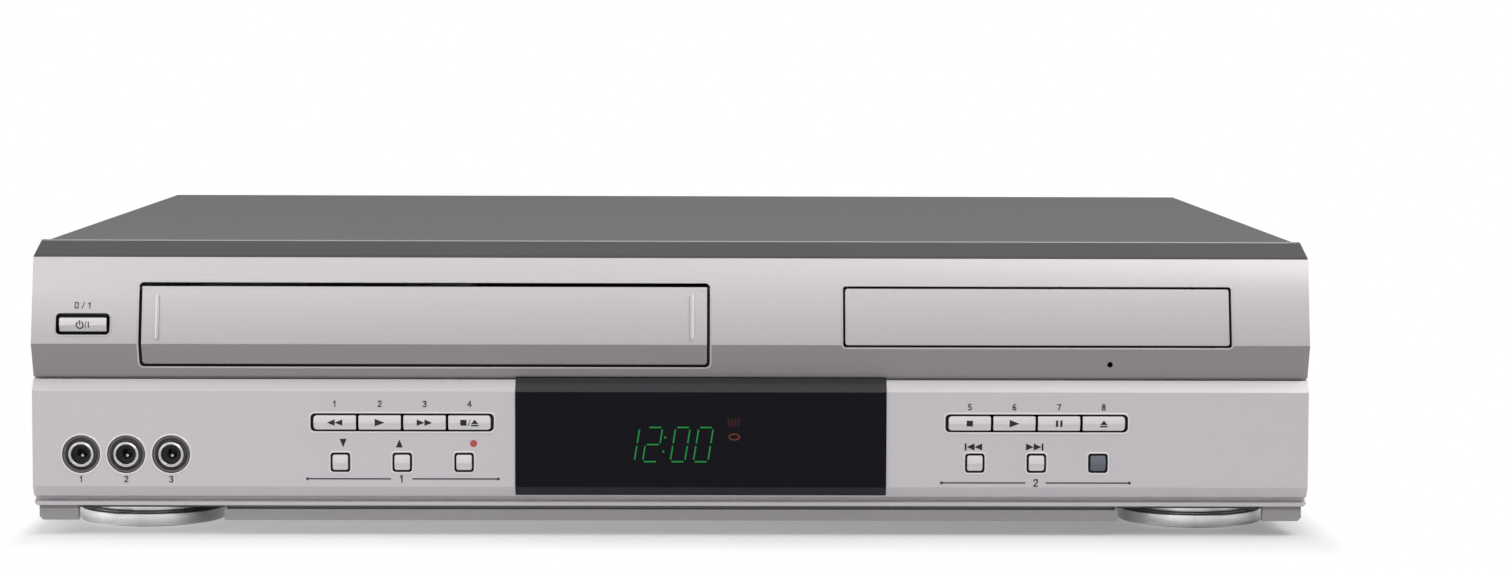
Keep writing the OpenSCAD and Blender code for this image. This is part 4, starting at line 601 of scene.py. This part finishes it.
def make_materials(c):
    """All finishes of the player."""
    silver, ink, dark = c.silver, c.ink, (0.014, 0.0135, 0.015)
    front = {"metallic": 0.15, "flake": 0.03, "grain": 0.012, "edge": 0.35, "specular": 0.35, "bow": 2.9}
    key = {"metallic": 0.2, "bare_and_shade": dark, "shade_limits": (3.4, 2.6)}
    painted("silver_paint", silver, 0.4, **front)
    # skirt and strip under the lip darker as painted shade; groove over the lip lighter as painted light
    painted("sprayed_front", silver, 0.4, **front, bare_and_shade=dark, shade_limits=(7.2, 0.45), bands=(
        (4.0, 8.9, scaled(silver, 0.54)), (8.9, 10.2, scaled(silver, 0.4)),
        (11.4, 13.6, scaled(silver, 1.1))))
    painted("key_silver", scaled(silver, 1.15), 0.34, 0.02, coat=0.1, specular=0.3, **key)
    painted("key_grey", (0.125, 0.145, 0.175), 0.36, grain=0.012, **key)
    # lighter copy of the silver for beads, rims and ribs: painted highlight on their edges
    painted("highlight_silver", scaled(silver, 1.25), 0.34, 0.02, 0.2, specular=0.4)
    painted("band_paint", c.band, 0.38, metallic=0.3, grain=0.012, edge=0.3, coat=0.1)
    painted("cover_enamel", c.cover, 0.55, 0.02, grain=0.05, edge=0.4, fleck=1300.0, specular=0.06,
            mottle=0.0)
    painted("bezel_paint", c.bezel, 0.42, grain=0.01, edge=0.4, specular=0.3)
    # light grey for the line on the bezel's top edge: painted highlight
    painted("bezel_highlight", (0.42, 0.4, 0.41), 0.36, metallic=0.3)
    # window lighter on its tilted bevel and foot slope: painted reflection
    painted("window_black", c.window, 0.08, 0.1, edge=0.3, specular=0.1, bands=(
        (49.1, 53.7, (0.048, 0.048, 0.053)), (13.0, 16.9, (0.026, 0.026, 0.031))))
    painted("black_moulding", (0.022, 0.022, 0.024), 0.5, 0.12, grain=0.04, edge=0.3, fleck=1400.0)
    painted("black_rubber", (0.018, 0.018, 0.018), 0.82, 0.2, grain=0.08, edge=0.4, fleck=900.0)
    painted("natural_acetal", (0.74, 0.73, 0.69), 0.42, 0.03, grain=0.02, edge=0.3)
    painted("ink", ink, 0.5, 0.06, specular=0.2)
    painted("key_ink", scaled(ink, 0.4), 0.5, 0.06, specular=0.2)
    painted("red_ink", (0.5, 0.07, 0.065), 0.45, 0.06)
    painted("dish_grey", (0.17, 0.157, 0.15), 0.3, 0.08, 0.2, grain=0.01, edge=0.3)
    painted("core_black", (0.008, 0.008, 0.008), 0.4, 0.08, specular=0.3)
    for tone, colour in (("yellow", (0.75, 0.5, 0.04)), ("white", (0.75, 0.75, 0.72)),
                         ("red", (0.5, 0.03, 0.03)), ("green", (0.05, 0.32, 0.1)),
                         ("blue", (0.04, 0.12, 0.42))):
        painted("socket_" + tone, colour, 0.4, grain=0.01, edge=0.1)
    rolled("zinc_sheet", (0.6, 0.6, 0.61), 0.34)
    rolled("spring_steel", (0.42, 0.42, 0.43), 0.3)
    # dark sheet for the chassis pan: its own dark finish and painted shade under the front lip
    rolled("dark_sheet_and_shade", (0.1, 0.096, 0.094), 0.5)
    spun("foot_silver", (0.66, 0.635, 0.64), 0.26, (-FEET[0], FEET[0]))
    turned("drum_alloy", (0.66, 0.67, 0.69), 0.2, 1500.0, (-77.2, 49.0, 0.0))
    turned("jack_metal", (0.5, 0.49, 0.48), 0.3, 700.0)
    turned("bright_shell", (0.78, 0.77, 0.76), 0.16, 700.0)
    circuit("green_board", (0.02, 0.13, 0.05), (0.3, 0.34, 0.12))
    circuit("tan_board", (0.3, 0.2, 0.09), (0.42, 0.32, 0.16))
    glowing("lit_green", c.digits, 0.5)
    glowing("lit_amber", (0.4, 0.13, 0.07), 0.3)
    glowing("dim_red", (0.05, 0.016, 0.014), 0.4)


DRESS = {
    "dark_sheet_and_shade": "chassis_pan",
    "zinc_sheet": "rear_panel cover_screws deck_plate carriage_frame cassette_holder capstan_rotor "
                  "pinch_lever clamp_bridge tuner_module",
    "spring_steel": "door_spring",
    "bright_shell": "front_jack_shells",
    "cover_enamel": "top_cover",
    "sprayed_front": "front_panel cassette_door",
    "silver_paint": "tray_front", "bezel_paint": "top_bezel",
    "band_paint": "band_trim door_band",
    "window_black": "display_window",
    "foot_silver": "front_feet",
    "dish_grey": "front_jack_block",
    "black_moulding": "rear_feet display_module loader_frame disc_tray traverse pickup_sled rear_jacks "
                      "mains_inlet",
    "black_rubber": "foot_pads pinch_roller turntable",
    "natural_acetal": "carriage_slides supply_reel takeup_reel clamp_disc tray_gear",
    "drum_alloy": "drum_base drum_rotor capstan_bearing",
    "green_board": "main_board", "tan_board": "front_board power_board",
}


class PLAYER_OT_finishes(bpy.types.Operator):
    """Make the finishes and put them on the solids"""
    bl_idname = "player.finishes"
    bl_label = "Finishes"

    def execute(self, context):
        make_materials(context.scene.player_colours)
        for material, nodes in DRESS.items():
            for node in nodes.split():
                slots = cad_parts[node].data.materials
                slots.clear()
                slots.append(MATERIALS[material])
        return {"FINISHED"}


# ---- keys ----

# a key: middle, half sizes, corner radius or radii, depths of its face and its flange, finish
Key = namedtuple("Key", "name x z half_w half_h corner front back material")
TIGHT, WIDE = 0.45, 1.15                        # corner radii inside a row and at its ends
ENDS = {0: (TIGHT, WIDE, WIDE, TIGHT), 3: (WIDE, TIGHT, TIGHT, WIDE)}
SMALL_KEY = SMALL_W / 2 - KEY_GAP - 0.2
RIDGE = -0.1                                    # height of a key's ridge as a share of its half height


def row_keys(middle, names):
    """The four keys of a row."""
    return [Key(name, middle + (i - 1.5) * ROW_PITCH, ROW_Z, ROW_PITCH / 2 - KEY_GAP / 2 - 0.15,
                ROW_H / 2 - KEY_GAP - 0.12, ENDS.get(i, TIGHT), FACE_SET - 1, FLANGE_D, "key_silver")
            for i, name in enumerate(names.split())]


def small_keys(middle, names):
    """The three small keys under a row; the scan key is grey."""
    return [Key(name, middle + (i - 1) * SMALL_PITCH, SMALL_Z, SMALL_KEY, SMALL_KEY, 0.7, FACE_SET - 0.9,
                FLANGE_D, "key_grey" if name == "scan" else "key_silver")
            for i, name in enumerate(names.split())]


KEYS = (row_keys(TAPE_X, "tape_rewind tape_play tape_forward tape_eject")
        + row_keys(DISC_X, "disc_stop disc_play disc_pause disc_open")
        + small_keys(TAPE_X, "channel_down channel_up record")
        + small_keys(DISC_X, "skip_back skip_forward scan")
        + [Key("power", POWER[0], POWER[1] - 0.2, POWER[2] / 2 - KEY_GAP - 0.6, POWER[3] / 2 - KEY_GAP - 0.7,
               0.5, 1.2, 6.5, "key_silver")])


def key_rise(across):
    """Depth of a key's face behind its ridge, at a height from -1 (bottom) to 1 (top): the upper part leans
    back faster and faster, and the lower part starts steeply and flattens out."""
    upper = np.clip((across - RIDGE) / (1 - RIDGE), 0, 1)
    lower = np.clip((RIDGE - across) / (1 + RIDGE), 0, 1)
    return 0.15 * upper + 0.55 * upper ** 2 + 0.8 * lower * (2 - lower)


def key_shell(key, crown):
    """A key as a stack of rounded outlines: its face, drawn in towards the ridge like a hipped roof, its
    walls, its flange and its stem."""
    rings = []
    outline, normal = fine_outline(*round_rect(key.half_w, key.half_h, key.corner, 5), 0.55)
    edge, lap, flange, stem, end = 0.26, 1.4, 1.2, 1.5, 11.5    # widths, thickness, radius and depth
    back = key.back + 0.3
    hip = 0.5 * key.half_h / key.half_w
    ridge = RIDGE * key.half_h

    def ring(flat, depth):
        rings.append(points_at(flat[:, 0] + key.x, FRONT_Y + depth, flat[:, 1] + key.z))

    def face(flat):
        return key.front + crown * key_rise(flat[:, 1] / key.half_h)

    inner = outline - edge * normal
    for share in (0.02, 0.1, 0.22, 0.36, 0.52, 0.68, 0.84, 1.0):
        drawn = points_at(inner[:, 0] * (1 - hip * (1 - share)), ridge + share * (inner[:, 1] - ridge))
        ring(drawn, face(drawn))
    for turn in np.radians([30, 60, 90]):
        ring(inner + edge * math.sin(turn) * normal, face(inner) + edge * (1 - math.cos(turn)))
    wide, thin = outline + lap * normal, stem * unit(outline)
    for flat, depth in ((outline, back), (wide, back), (wide, back + flange),
                        (thin, back + flange), (thin, end)):
        ring(flat, depth)
    return shell(np.array(rings))


class PLAYER_OT_keys(bpy.types.Operator):
    """Smooth keys in the place of the plain ones"""
    bl_idname = "player.keys"
    bl_label = "Keys"

    def execute(self, context):
        for key in KEYS:
            piece(key.name + "_cap", [key_shell(key, context.scene.player_sizes.key_crown / MM)],
                  key.material, key.name + "_key",
                  [key.name + "_button"], hard=24)
        return {"FINISHED"}


# ---- lips, marks and display ----

class PLAYER_OT_lips(bpy.types.Operator):
    """Beads round the openings of the front panel, some lighter as painted highlight, black strips in them as
    painted shade, and the bezel's light line as painted highlight
    """
    bl_idname = "player.lips"
    bl_label = "Lips"

    def execute(self, context):
        sizes = context.scene.player_sizes
        wide, high = sizes.lip_width / MM, sizes.lip_height / MM

        def bead(box, radius):
            return opening_bead(box, radius, wide, high, wide * 0.9)

        piece("opening_lips", [bead(DOOR, 1.5), bead(TRAY, 1.0)], "silver_paint")
        # black strips in the door and tray gaps: painted shade
        piece("opening_shade_strips", [opening_shade_strip(DOOR, 1.5, 0.42, 0.47, DOOR[3] - 4),
                                opening_shade_strip(TRAY, 1.0, 0.2, 0.22, TRAY[3] - 2)],
              "core_black")
        rims = []
        for middle in (TAPE_X, DISC_X):
            rims.append(bead(box_at(middle, ROW_Z, ROW_W, ROW_H), 1.5))
            rims += [bead(box_at(middle + i * SMALL_PITCH, SMALL_Z, SMALL_W, SMALL_W), 1.0)
                     for i in (-1, 0, 1)]
        # lighter beads round the key wells: painted highlight
        piece("key_lips", rims, "highlight_silver")

        # a light rod along the bezel's top edge, where it meets the cover: painted highlight
        low, top = corners("top_bezel")
        half_length, deep, below, half_depth, half_height = SIDE_X - 1.9, 5.62, 0.3, 0.3, 0.26
        line = points_at(np.linspace(-half_length, half_length, 60)[:, None],
                         low[1] + deep + half_depth * np.cos(turns(8)),
                         top[2] - below + half_height * np.sin(turns(8)))
        piece("bezel_highlight_line", [shell(line)], "bezel_highlight")
        piece("power_lip", [opening_bead(box_at(*POWER), 1.5, 0.32, 0.22, 0.3)],
              "silver_paint")
        # lighter ribs on the door: painted highlight
        piece("door_ticks", [door_rib(x) for x in (DOOR[0] + 5.8, DOOR[2] - 5.8)],
              "highlight_silver", "door")
        return {"FINISHED"}


class PLAYER_OT_marks(bpy.types.Operator):
    """Printed marks on the panel and on the keys"""
    bl_idname = "player.marks"
    bl_label = "Marks"

    def execute(self, context):
        sizes = context.scene.player_sizes
        thick, tall = sizes.mark_depth / MM, sizes.label_height / MM
        half_line, end_dot, fine = 0.23, 0.5, 0.36
        shapes = []
        # bracket lines with a dot at each end and a plain number in the gap
        for x0, g0, g1, x1, z, number in ((-122.7, -94.6, -87.4, -58.5, 19.6, "1"),
                                          (91.0, 119.4, 126.3, 154.6, 18.5, "2")):
            shapes += [bar(x0, z - half_line, g0, z + half_line), bar(g1, z - half_line, x1, z + half_line)]
            shapes += [oval(x, z, end_dot, end_dot, 16) for x in (x0, x1)]
            shapes += numeral(number, (g0 + g1) / 2, z, tall * 1.2, 0.42)
        # numerals over the rows, under the jacks and over the power key
        for first, pitch, z, digits in (
                (TAPE_X - 1.5 * ROW_PITCH, ROW_PITCH, 45.0, "1234"),
                (DISC_X - 1.5 * ROW_PITCH, ROW_PITCH, 44.2, "5678"),
                (JACKS[0], JACKS[2], 19.4, "123"), (POWER[0] - 2.2, 4.4, 77.9, "01")):
            for i, digit in enumerate(digits):
                shapes += numeral(digit, first + i * pitch, z, tall, fine)
        shapes += strokes([(POWER[0] - 0.4, 76.9), (POWER[0] + 0.4, 78.9)], 0.3)
        bold = [triangle(-110.7, 31.7, 2.9, 2.3, "down"), triangle(-91.8, 31.6, 2.7, 2.3, "up")]
        for x, side, way in ((101.7, -1, "left"), (122.5, 1, "right")):
            bold += [triangle(x + side * shift, 30.7, 2.6, 2.4, way) for shift in (-1.7, 0.9)]
            bold += [bar(x + side * 2.6 - 0.3, 29.5, x + side * 2.6 + 0.3, 31.9)]
        for name, some, material in (("bold_marks", bold, "key_ink"), ("panel_marks", shapes, "ink"),
                                     ("record_dot", [oval(-66.8, 31.6, 1.2, 1.2)], "red_ink")):
            piece(name, [flat_shape(s, face_depth, thick) for s in some], material, smooth=False)
        self.key_marks(sizes.key_crown / MM, thick)
        return {"FINISHED"}

    def key_marks(self, crown, thick):
        """Marks on the keys, which ride with them."""
        def double(way):
            return [triangle(x, 0, 2.6, 2.2, way) for x in (-1.3, 1.3)]

        play = [triangle(0, 0, 3.3, 2.6, "right")]
        square = bar(-1.05, -1.0, 1.05, 1.0)
        eject = [triangle(0, 0.35, 1.5, 2.5, "up"), bar(-1.25, -1.25, 1.25, -0.75)]
        ring = np.radians(np.linspace(125, 415, 21))
        marks = {
            "tape_rewind": double("left"), "tape_play": play, "tape_forward": double("right"),
            "tape_eject": [square + (-2.0, 0), *strokes([(-0.35, -0.95), (0.25, 0.95)], 0.24),
                           *[s + (1.8, 0) for s in eject]],
            "disc_stop": [square], "disc_play": play,
            "disc_pause": [bar(-1.1, -1.1, -0.35, 1.1), bar(0.35, -1.1, 1.1, 1.1)], "disc_open": eject,
            "power": [*strokes(points_at(-1.0 + 1.15 * np.cos(ring), -0.1 + 1.15 * np.sin(ring)), 0.38),
                      *strokes([(-1.0, 0.1), (-1.0, 1.4)], 0.38), *strokes([(0.75, -1.1), (1.15, 1.1)], 0.24),
                      bar(1.75, -1.05, 2.1, 1.05)]}
        for key in KEYS:
            if key.name in marks:
                def on_key(level):
                    return key.front + crown * key_rise((level - key.z) / key.half_h)

                parts = [flat_shape(mark + (key.x, key.z), on_key, thick, 30) for mark in marks[key.name]]
                piece(key.name + "_mark", parts, "key_ink", key.name + "_key", smooth=False)


# lit segments: a top, b upper right, c lower right, d bottom, e lower left, f upper left, g middle
LIT = {"0": "abcdef", "1": "bc", "2": "abged"}
SEGMENTS = {"a": ((0.14, 1), (0.86, 1)), "b": ((1, 0.92), (1, 0.56)), "c": ((1, 0.44), (1, 0.08)),
            "d": ((0.14, 0), (0.86, 0)), "e": ((0, 0.44), (0, 0.08)), "f": ((0, 0.92), (0, 0.56)),
            "g": ((0.14, 0.5), (0.86, 0.5))}


class PLAYER_OT_display(bpy.types.Operator):
    """Lit digits and two small signs in the window"""
    bl_idname = "player.display"
    bl_label = "Display"

    def execute(self, context):
        high = context.scene.player_sizes.digit_height / MM
        low, wide, slant = 25.6, 4.9, 0.16
        digits = []
        for left, digit in ((-17.6, "1"), (-9.9, "2"), (-0.6, "0"), (7.2, "0")):
            for name in LIT[digit]:
                digits += strokes([(left + x * wide + z * high * slant, low + z * high)
                                   for x, z in SEGMENTS[name]], 0.46)
        digits += [oval(-2.6 + s * 0.3, 31.4 + s * 2.4, 0.38, 0.38, 12) for s in (-1, 1)]
        rim = oval(21.0, 34.0, 1.7, 0.95, 20)
        sign = strokes(np.concatenate([rim, rim[:1]]), 0.5)
        bars = [bar(18.7 + i * 1.1, 37.4, 19.5 + i * 1.1, 40.2) for i in range(4)]

        def on_glass(level):
            return np.full(len(level), FACE_SET - 0.4)

        for name, some, material in (
                ("display_digits", digits, "lit_green"), ("display_sign", sign, "lit_amber"),
                ("display_bars", bars, "dim_red")):
            piece(name, [flat_shape(s, on_glass, 0.03) for s in some], material, smooth=False)
        return {"FINISHED"}


# ---- sockets and feet ----

# closed profiles of (radius, depth) on the sockets
JACK_LIP = ((3.38, 1.6), (3.38, -1.06), (3.5, -1.18), (3.7, -1.2), (3.9, -1.05), (4.06, -0.8), (4.06, -0.4),
            (4.02, -0.3), (4.02, 1.6))
JACK_CORE = ((1.72, 4.0), (1.72, 1.75), (1.85, 1.62), (3.2, 1.62), (3.36, 1.75), (3.36, 4.0))
JACK_CONTACT = ((0.02, 6.0), (0.02, 2.6), (0.45, 2.6), (0.62, 2.75), (0.62, 6.0))
REAR_SHELL = ((4.3, -8.0), (4.3, -0.35), (4.15, -0.1), (3.9, 0.0), (3.4, 0.0), (3.15, -0.15), (3.1, -0.75),
              (3.9, -0.8))
REAR_COLLAR = ((1.65, -0.85), (3.05, -0.85), (3.05, -0.55), (2.9, -0.45), (1.8, -0.45), (1.65, -0.55))


class PLAYER_OT_sockets(bpy.types.Operator):
    """Rims of the front jacks, coloured sockets at the back and threads of the aerial sockets"""
    bl_idname = "player.sockets"
    bl_label = "Sockets"

    def execute(self, context):
        first, z, pitch, radius = JACKS
        half_width, proud = 0.3, 0.2
        bead = points_at(radius + 0.26 + half_width * np.cos(turns(12)), proud * np.sin(turns(12)))
        places = [(first + i * pitch, FRONT_Y + FACE_SET, z) for i in range(3)]
        # lighter rims round the jacks: painted highlight
        piece("jack_rims", [lathe(bead, 48, place) for place in places], "highlight_silver")
        for name, profile, drop, slot, material in (
                ("jack_lips", JACK_LIP, 0.0, "steel", "jack_metal"),
                ("jack_cores", JACK_CORE, 0.0, "dark_plastic", "core_black"),
                ("jack_contacts", JACK_CONTACT, 0.75, "steel", "jack_metal")):
            piece(name, [lathe(profile, 48, (x, y + 0.4, z - drop)) for x, y, z in places], material,
                  hard=32)

        tip = float(corners("rear_jacks")[1][1])
        middle, low, step = -28.0, 23.0, 16.0
        shells, collars = [], {}
        for column in range(7):
            tones = ("red", "white", "yellow") if column < 5 else ("red", "blue", "green")
            for row, tone in enumerate(tones):
                place = (middle + (column - 3) * step, tip, low + row * step)
                shells.append(lathe(REAR_SHELL, 32, place))
                collars.setdefault(tone, []).append(lathe(REAR_COLLAR, 32, place))
        piece("rear_socket_shells", shells, "bright_shell", hard=32)
        for tone, parts in collars.items():
            piece("rear_sockets_" + tone, parts, "socket_" + tone, hard=32)
        piece("aerial_threads", [self.thread(-171.5, tip, z) for z in (32.0, 54.0)], "bright_shell")
        return {"FINISHED"}

    def thread(self, x, tip, z):
        """A helical rib on an aerial socket: a point on a circle that moves back evenly as it turns, with
        an elliptic section that fades at both ends."""
        rounds, radius, start, length, high, half_width = 7, 4.62, 6.3, 5.6, 0.26, 0.3
        t = np.linspace(0, 1, rounds * 32 + 1)[:, None]
        angle = t * rounds * 2 * np.pi
        fade = np.clip(np.minimum(t, 1 - t) * 20, 0.1, 1)
        out = radius + high * np.cos(turns(6)) * fade
        back = tip - start + length * t + half_width * np.sin(turns(6)) * fade
        return shell(points_at(x + out * np.cos(angle), back, z + out * np.sin(angle)))


def quarter(x, z, radius, start):
    """Points of a quarter circle from a start angle."""
    angle = np.radians(start + np.arange(0, 91, 15))
    return [*zip(x + radius * np.cos(angle), z + radius * np.sin(angle))]


class PLAYER_OT_feet(bpy.types.Operator):
    """Turned front feet with rounded rims"""
    bl_idname = "player.feet"
    bl_label = "Feet"

    def execute(self, context):
        profile = [(5.1, 6.4), (5.1, 1.25), (21.05, 1.25), (21.05, 0.6), *quarter(24.2, 1.4, 0.8, -90),
                   *quarter(24.35, 4.55, 0.65, 0), (22.6, 5.2), (22.4, 5.05), (20.6, 5.05), (20.0, 5.4),
                   (20.0, 7.95), (2.1, 8.0), (2.1, 6.4)]
        feet = [lathe(profile, 128, (side * FEET[0], FEET[1], 0), (0, 1, 2)) for side in (-1, 1)]
        piece("turned_feet", feet, "foot_silver", replaced=["front_feet"], hard=32)
        return {"FINISHED"}


# ---- stage ----

def stand(thing, right, up, forward, place):
    """Put a camera or a lamp at a place, looking forward."""
    bpy.context.scene.collection.objects.link(thing)
    thing.matrix_world = Matrix([[right[k], up[k], -forward[k], place[k]] for k in range(3)] + [[0, 0, 0, 1]])


def lamp(name, place, target, size, power, colour):
    """A rectangular soft lamp that faces a target."""
    data = bpy.data.lights.new(name, "AREA")
    data.shape = "RECTANGLE"
    data.size, data.size_y = size
    data.energy = power
    data.color = colour
    forward = unit(np.subtract(target, place))
    right = unit(np.cross(forward, (0, 0, 1)))
    stand(bpy.data.objects.new(name, data), right, np.cross(right, forward), forward, place)


class PLAYER_OT_stage(bpy.types.Operator):
    """Camera, lamps, floor and the light of the room"""
    bl_idname = "player.stage"
    bl_label = "Stage"

    def execute(self, context):
        scene, stage = context.scene, context.scene.player_stage
        scene.view_settings.view_transform = "Standard"
        data = bpy.data.cameras.new("camera")
        data.sensor_width = 36
        data.lens = stage.lens
        scene.camera = bpy.data.objects.new("camera", data)
        angles = [stage.yaw, stage.pitch, stage.roll]
        (cos_yaw, cos_pitch, cos_roll), (sin_yaw, sin_pitch, sin_roll) = np.cos(angles), np.sin(angles)
        forward = np.array([sin_yaw * cos_pitch, cos_yaw * cos_pitch, sin_pitch])
        right = np.array([cos_yaw, -sin_yaw, 0])
        up = np.cross(right, forward)
        stand(scene.camera, cos_roll * right + sin_roll * up, cos_roll * up - sin_roll * right, forward,
              stage.place)

        middle, warm, cool = (0, -0.05, 0.05), (1.0, 0.985, 0.985), (0.98, 0.98, 1.0)
        lamp("key", (0.9, -0.8, 1.6), middle, (1.2, 1.0), stage.key_power, warm)
        lamp("overhead", (0, -0.3, 2.0), middle, (1.6, 1.2), stage.top_power, warm)
        lamp("front", (0, -2.0, 1.4), middle, (1.6, 0.9), stage.front_power, cool)
        lamp("side", (-0.6, -0.5, 0.4), (-0.2, -0.16, 0.06), (0.4, 0.4), stage.side_power, cool)

        scene.world = bpy.data.worlds.new("room")
        scene.world.use_nodes = True
        n = Nodes(scene.world.node_tree, "OutputWorld")
        n.mixed(n.seen(), n.add("Background", (0.96, 0.97, 1.0), stage.sky).outputs[0],
                n.add("Background", (1, 1, 1), 1.0).outputs[0])
        self.floor(scene.player_colours.floor)
        return {"FINISHED"}

    def floor(self, colour):
        """A wide pale floor that keeps the shadow. The camera sees it lifted to white away from the player:
        fully so 30 mm beyond the player's outline, with distances counted four times along X and less
        towards the right, and by a part of the way, which falls to the right, close to the player."""
        outline = np.array([[-1, -1, 0], [1, -1, 0], [1, 1, 0], [-1, 1, 0]])
        thing = mesh_object("floor", outline * 9000, [[0, 1, 2, 3]])
        n = new_finish("studio_floor")
        matt = n.surface(n.blend(n.noise(3.0), scaled(colour, 0.995), colour), 0.6)
        low, high = np.array(CAD_BOX)
        middle, half = (low + high) / 2, (high - low) / 2
        beyond = n.where
        for step, other in (("SUBTRACT", (*middle[:2], 0)), ("ABSOLUTE", None), ("SUBTRACT", (*half[:2], 0)),
                            ("MAXIMUM", (0, 0, 0)), ("MULTIPLY", (4.0, 1, 1))):
            beyond = n.add("VectorMath", beyond, other, operation=step).outputs[0]
        away = n.add("VectorMath", beyond, operation="LENGTH").outputs["Value"]
        # less lift, fading slower, to the right: the floor's shadow is painted darker and longer there
        reach = n.along("X", 1.0, 0.68, -SIDE_X, SIDE_X)
        close = n.ramp(n.maths("MULTIPLY", away, reach), 1, 0, 0.0, 0.03)
        near = n.maths("MULTIPLY", close, n.along("X", 0.55, 0.74, -SIDE_X, SIDE_X))
        glow = n.add("Emission", (1, 1, 1), 1.0).outputs[0]
        n.mixed(n.maths("MULTIPLY", n.seen(), n.maths("SUBTRACT", 1.0, near)), matt, glow)
        thing.data.materials.append(MATERIALS["studio_floor"])


class PLAYER_PT_panel(bpy.types.Panel):
    """The player's pieces"""
    bl_label = "Player"
    bl_idname = "PLAYER_PT_panel"
    bl_space_type = "VIEW_3D"
    bl_region_type = "UI"
    bl_category = "Player"

    def draw(self, context):
        for group in GROUPS:
            box = self.layout.box()
            for name in GROUPS[group].__annotations__:
                box.prop(getattr(context.scene, group), name)
        for operator in OPERATORS:
            self.layout.operator(operator.bl_idname)


OPERATORS = (PLAYER_OT_finishes, PLAYER_OT_keys, PLAYER_OT_lips, PLAYER_OT_marks, PLAYER_OT_display,
             PLAYER_OT_sockets, PLAYER_OT_feet, PLAYER_OT_stage)
GROUPS = {"player_sizes": PlayerSizes, "player_colours": PlayerColours, "player_stage": PlayerStage}


def register():
    for name, group in GROUPS.items():
        bpy.utils.register_class(group)
        setattr(bpy.types.Scene, name, bpy.props.PointerProperty(type=group))
    for operator in OPERATORS:
        bpy.utils.register_class(operator)
    bpy.utils.register_class(PLAYER_PT_panel)


def unregister():
    bpy.utils.unregister_class(PLAYER_PT_panel)
    for operator in reversed(OPERATORS):
        bpy.utils.unregister_class(operator)
    for name, group in GROUPS.items():
        delattr(bpy.types.Scene, name)
        bpy.utils.unregister_class(group)


def main():
    register()
    bpy.ops.player.finishes()
    bpy.ops.player.keys()
    bpy.ops.player.lips()
    bpy.ops.player.marks()
    bpy.ops.player.display()
    bpy.ops.player.sockets()
    bpy.ops.player.feet()
    bpy.ops.player.stage()


if __name__ == "__main__":
    main()
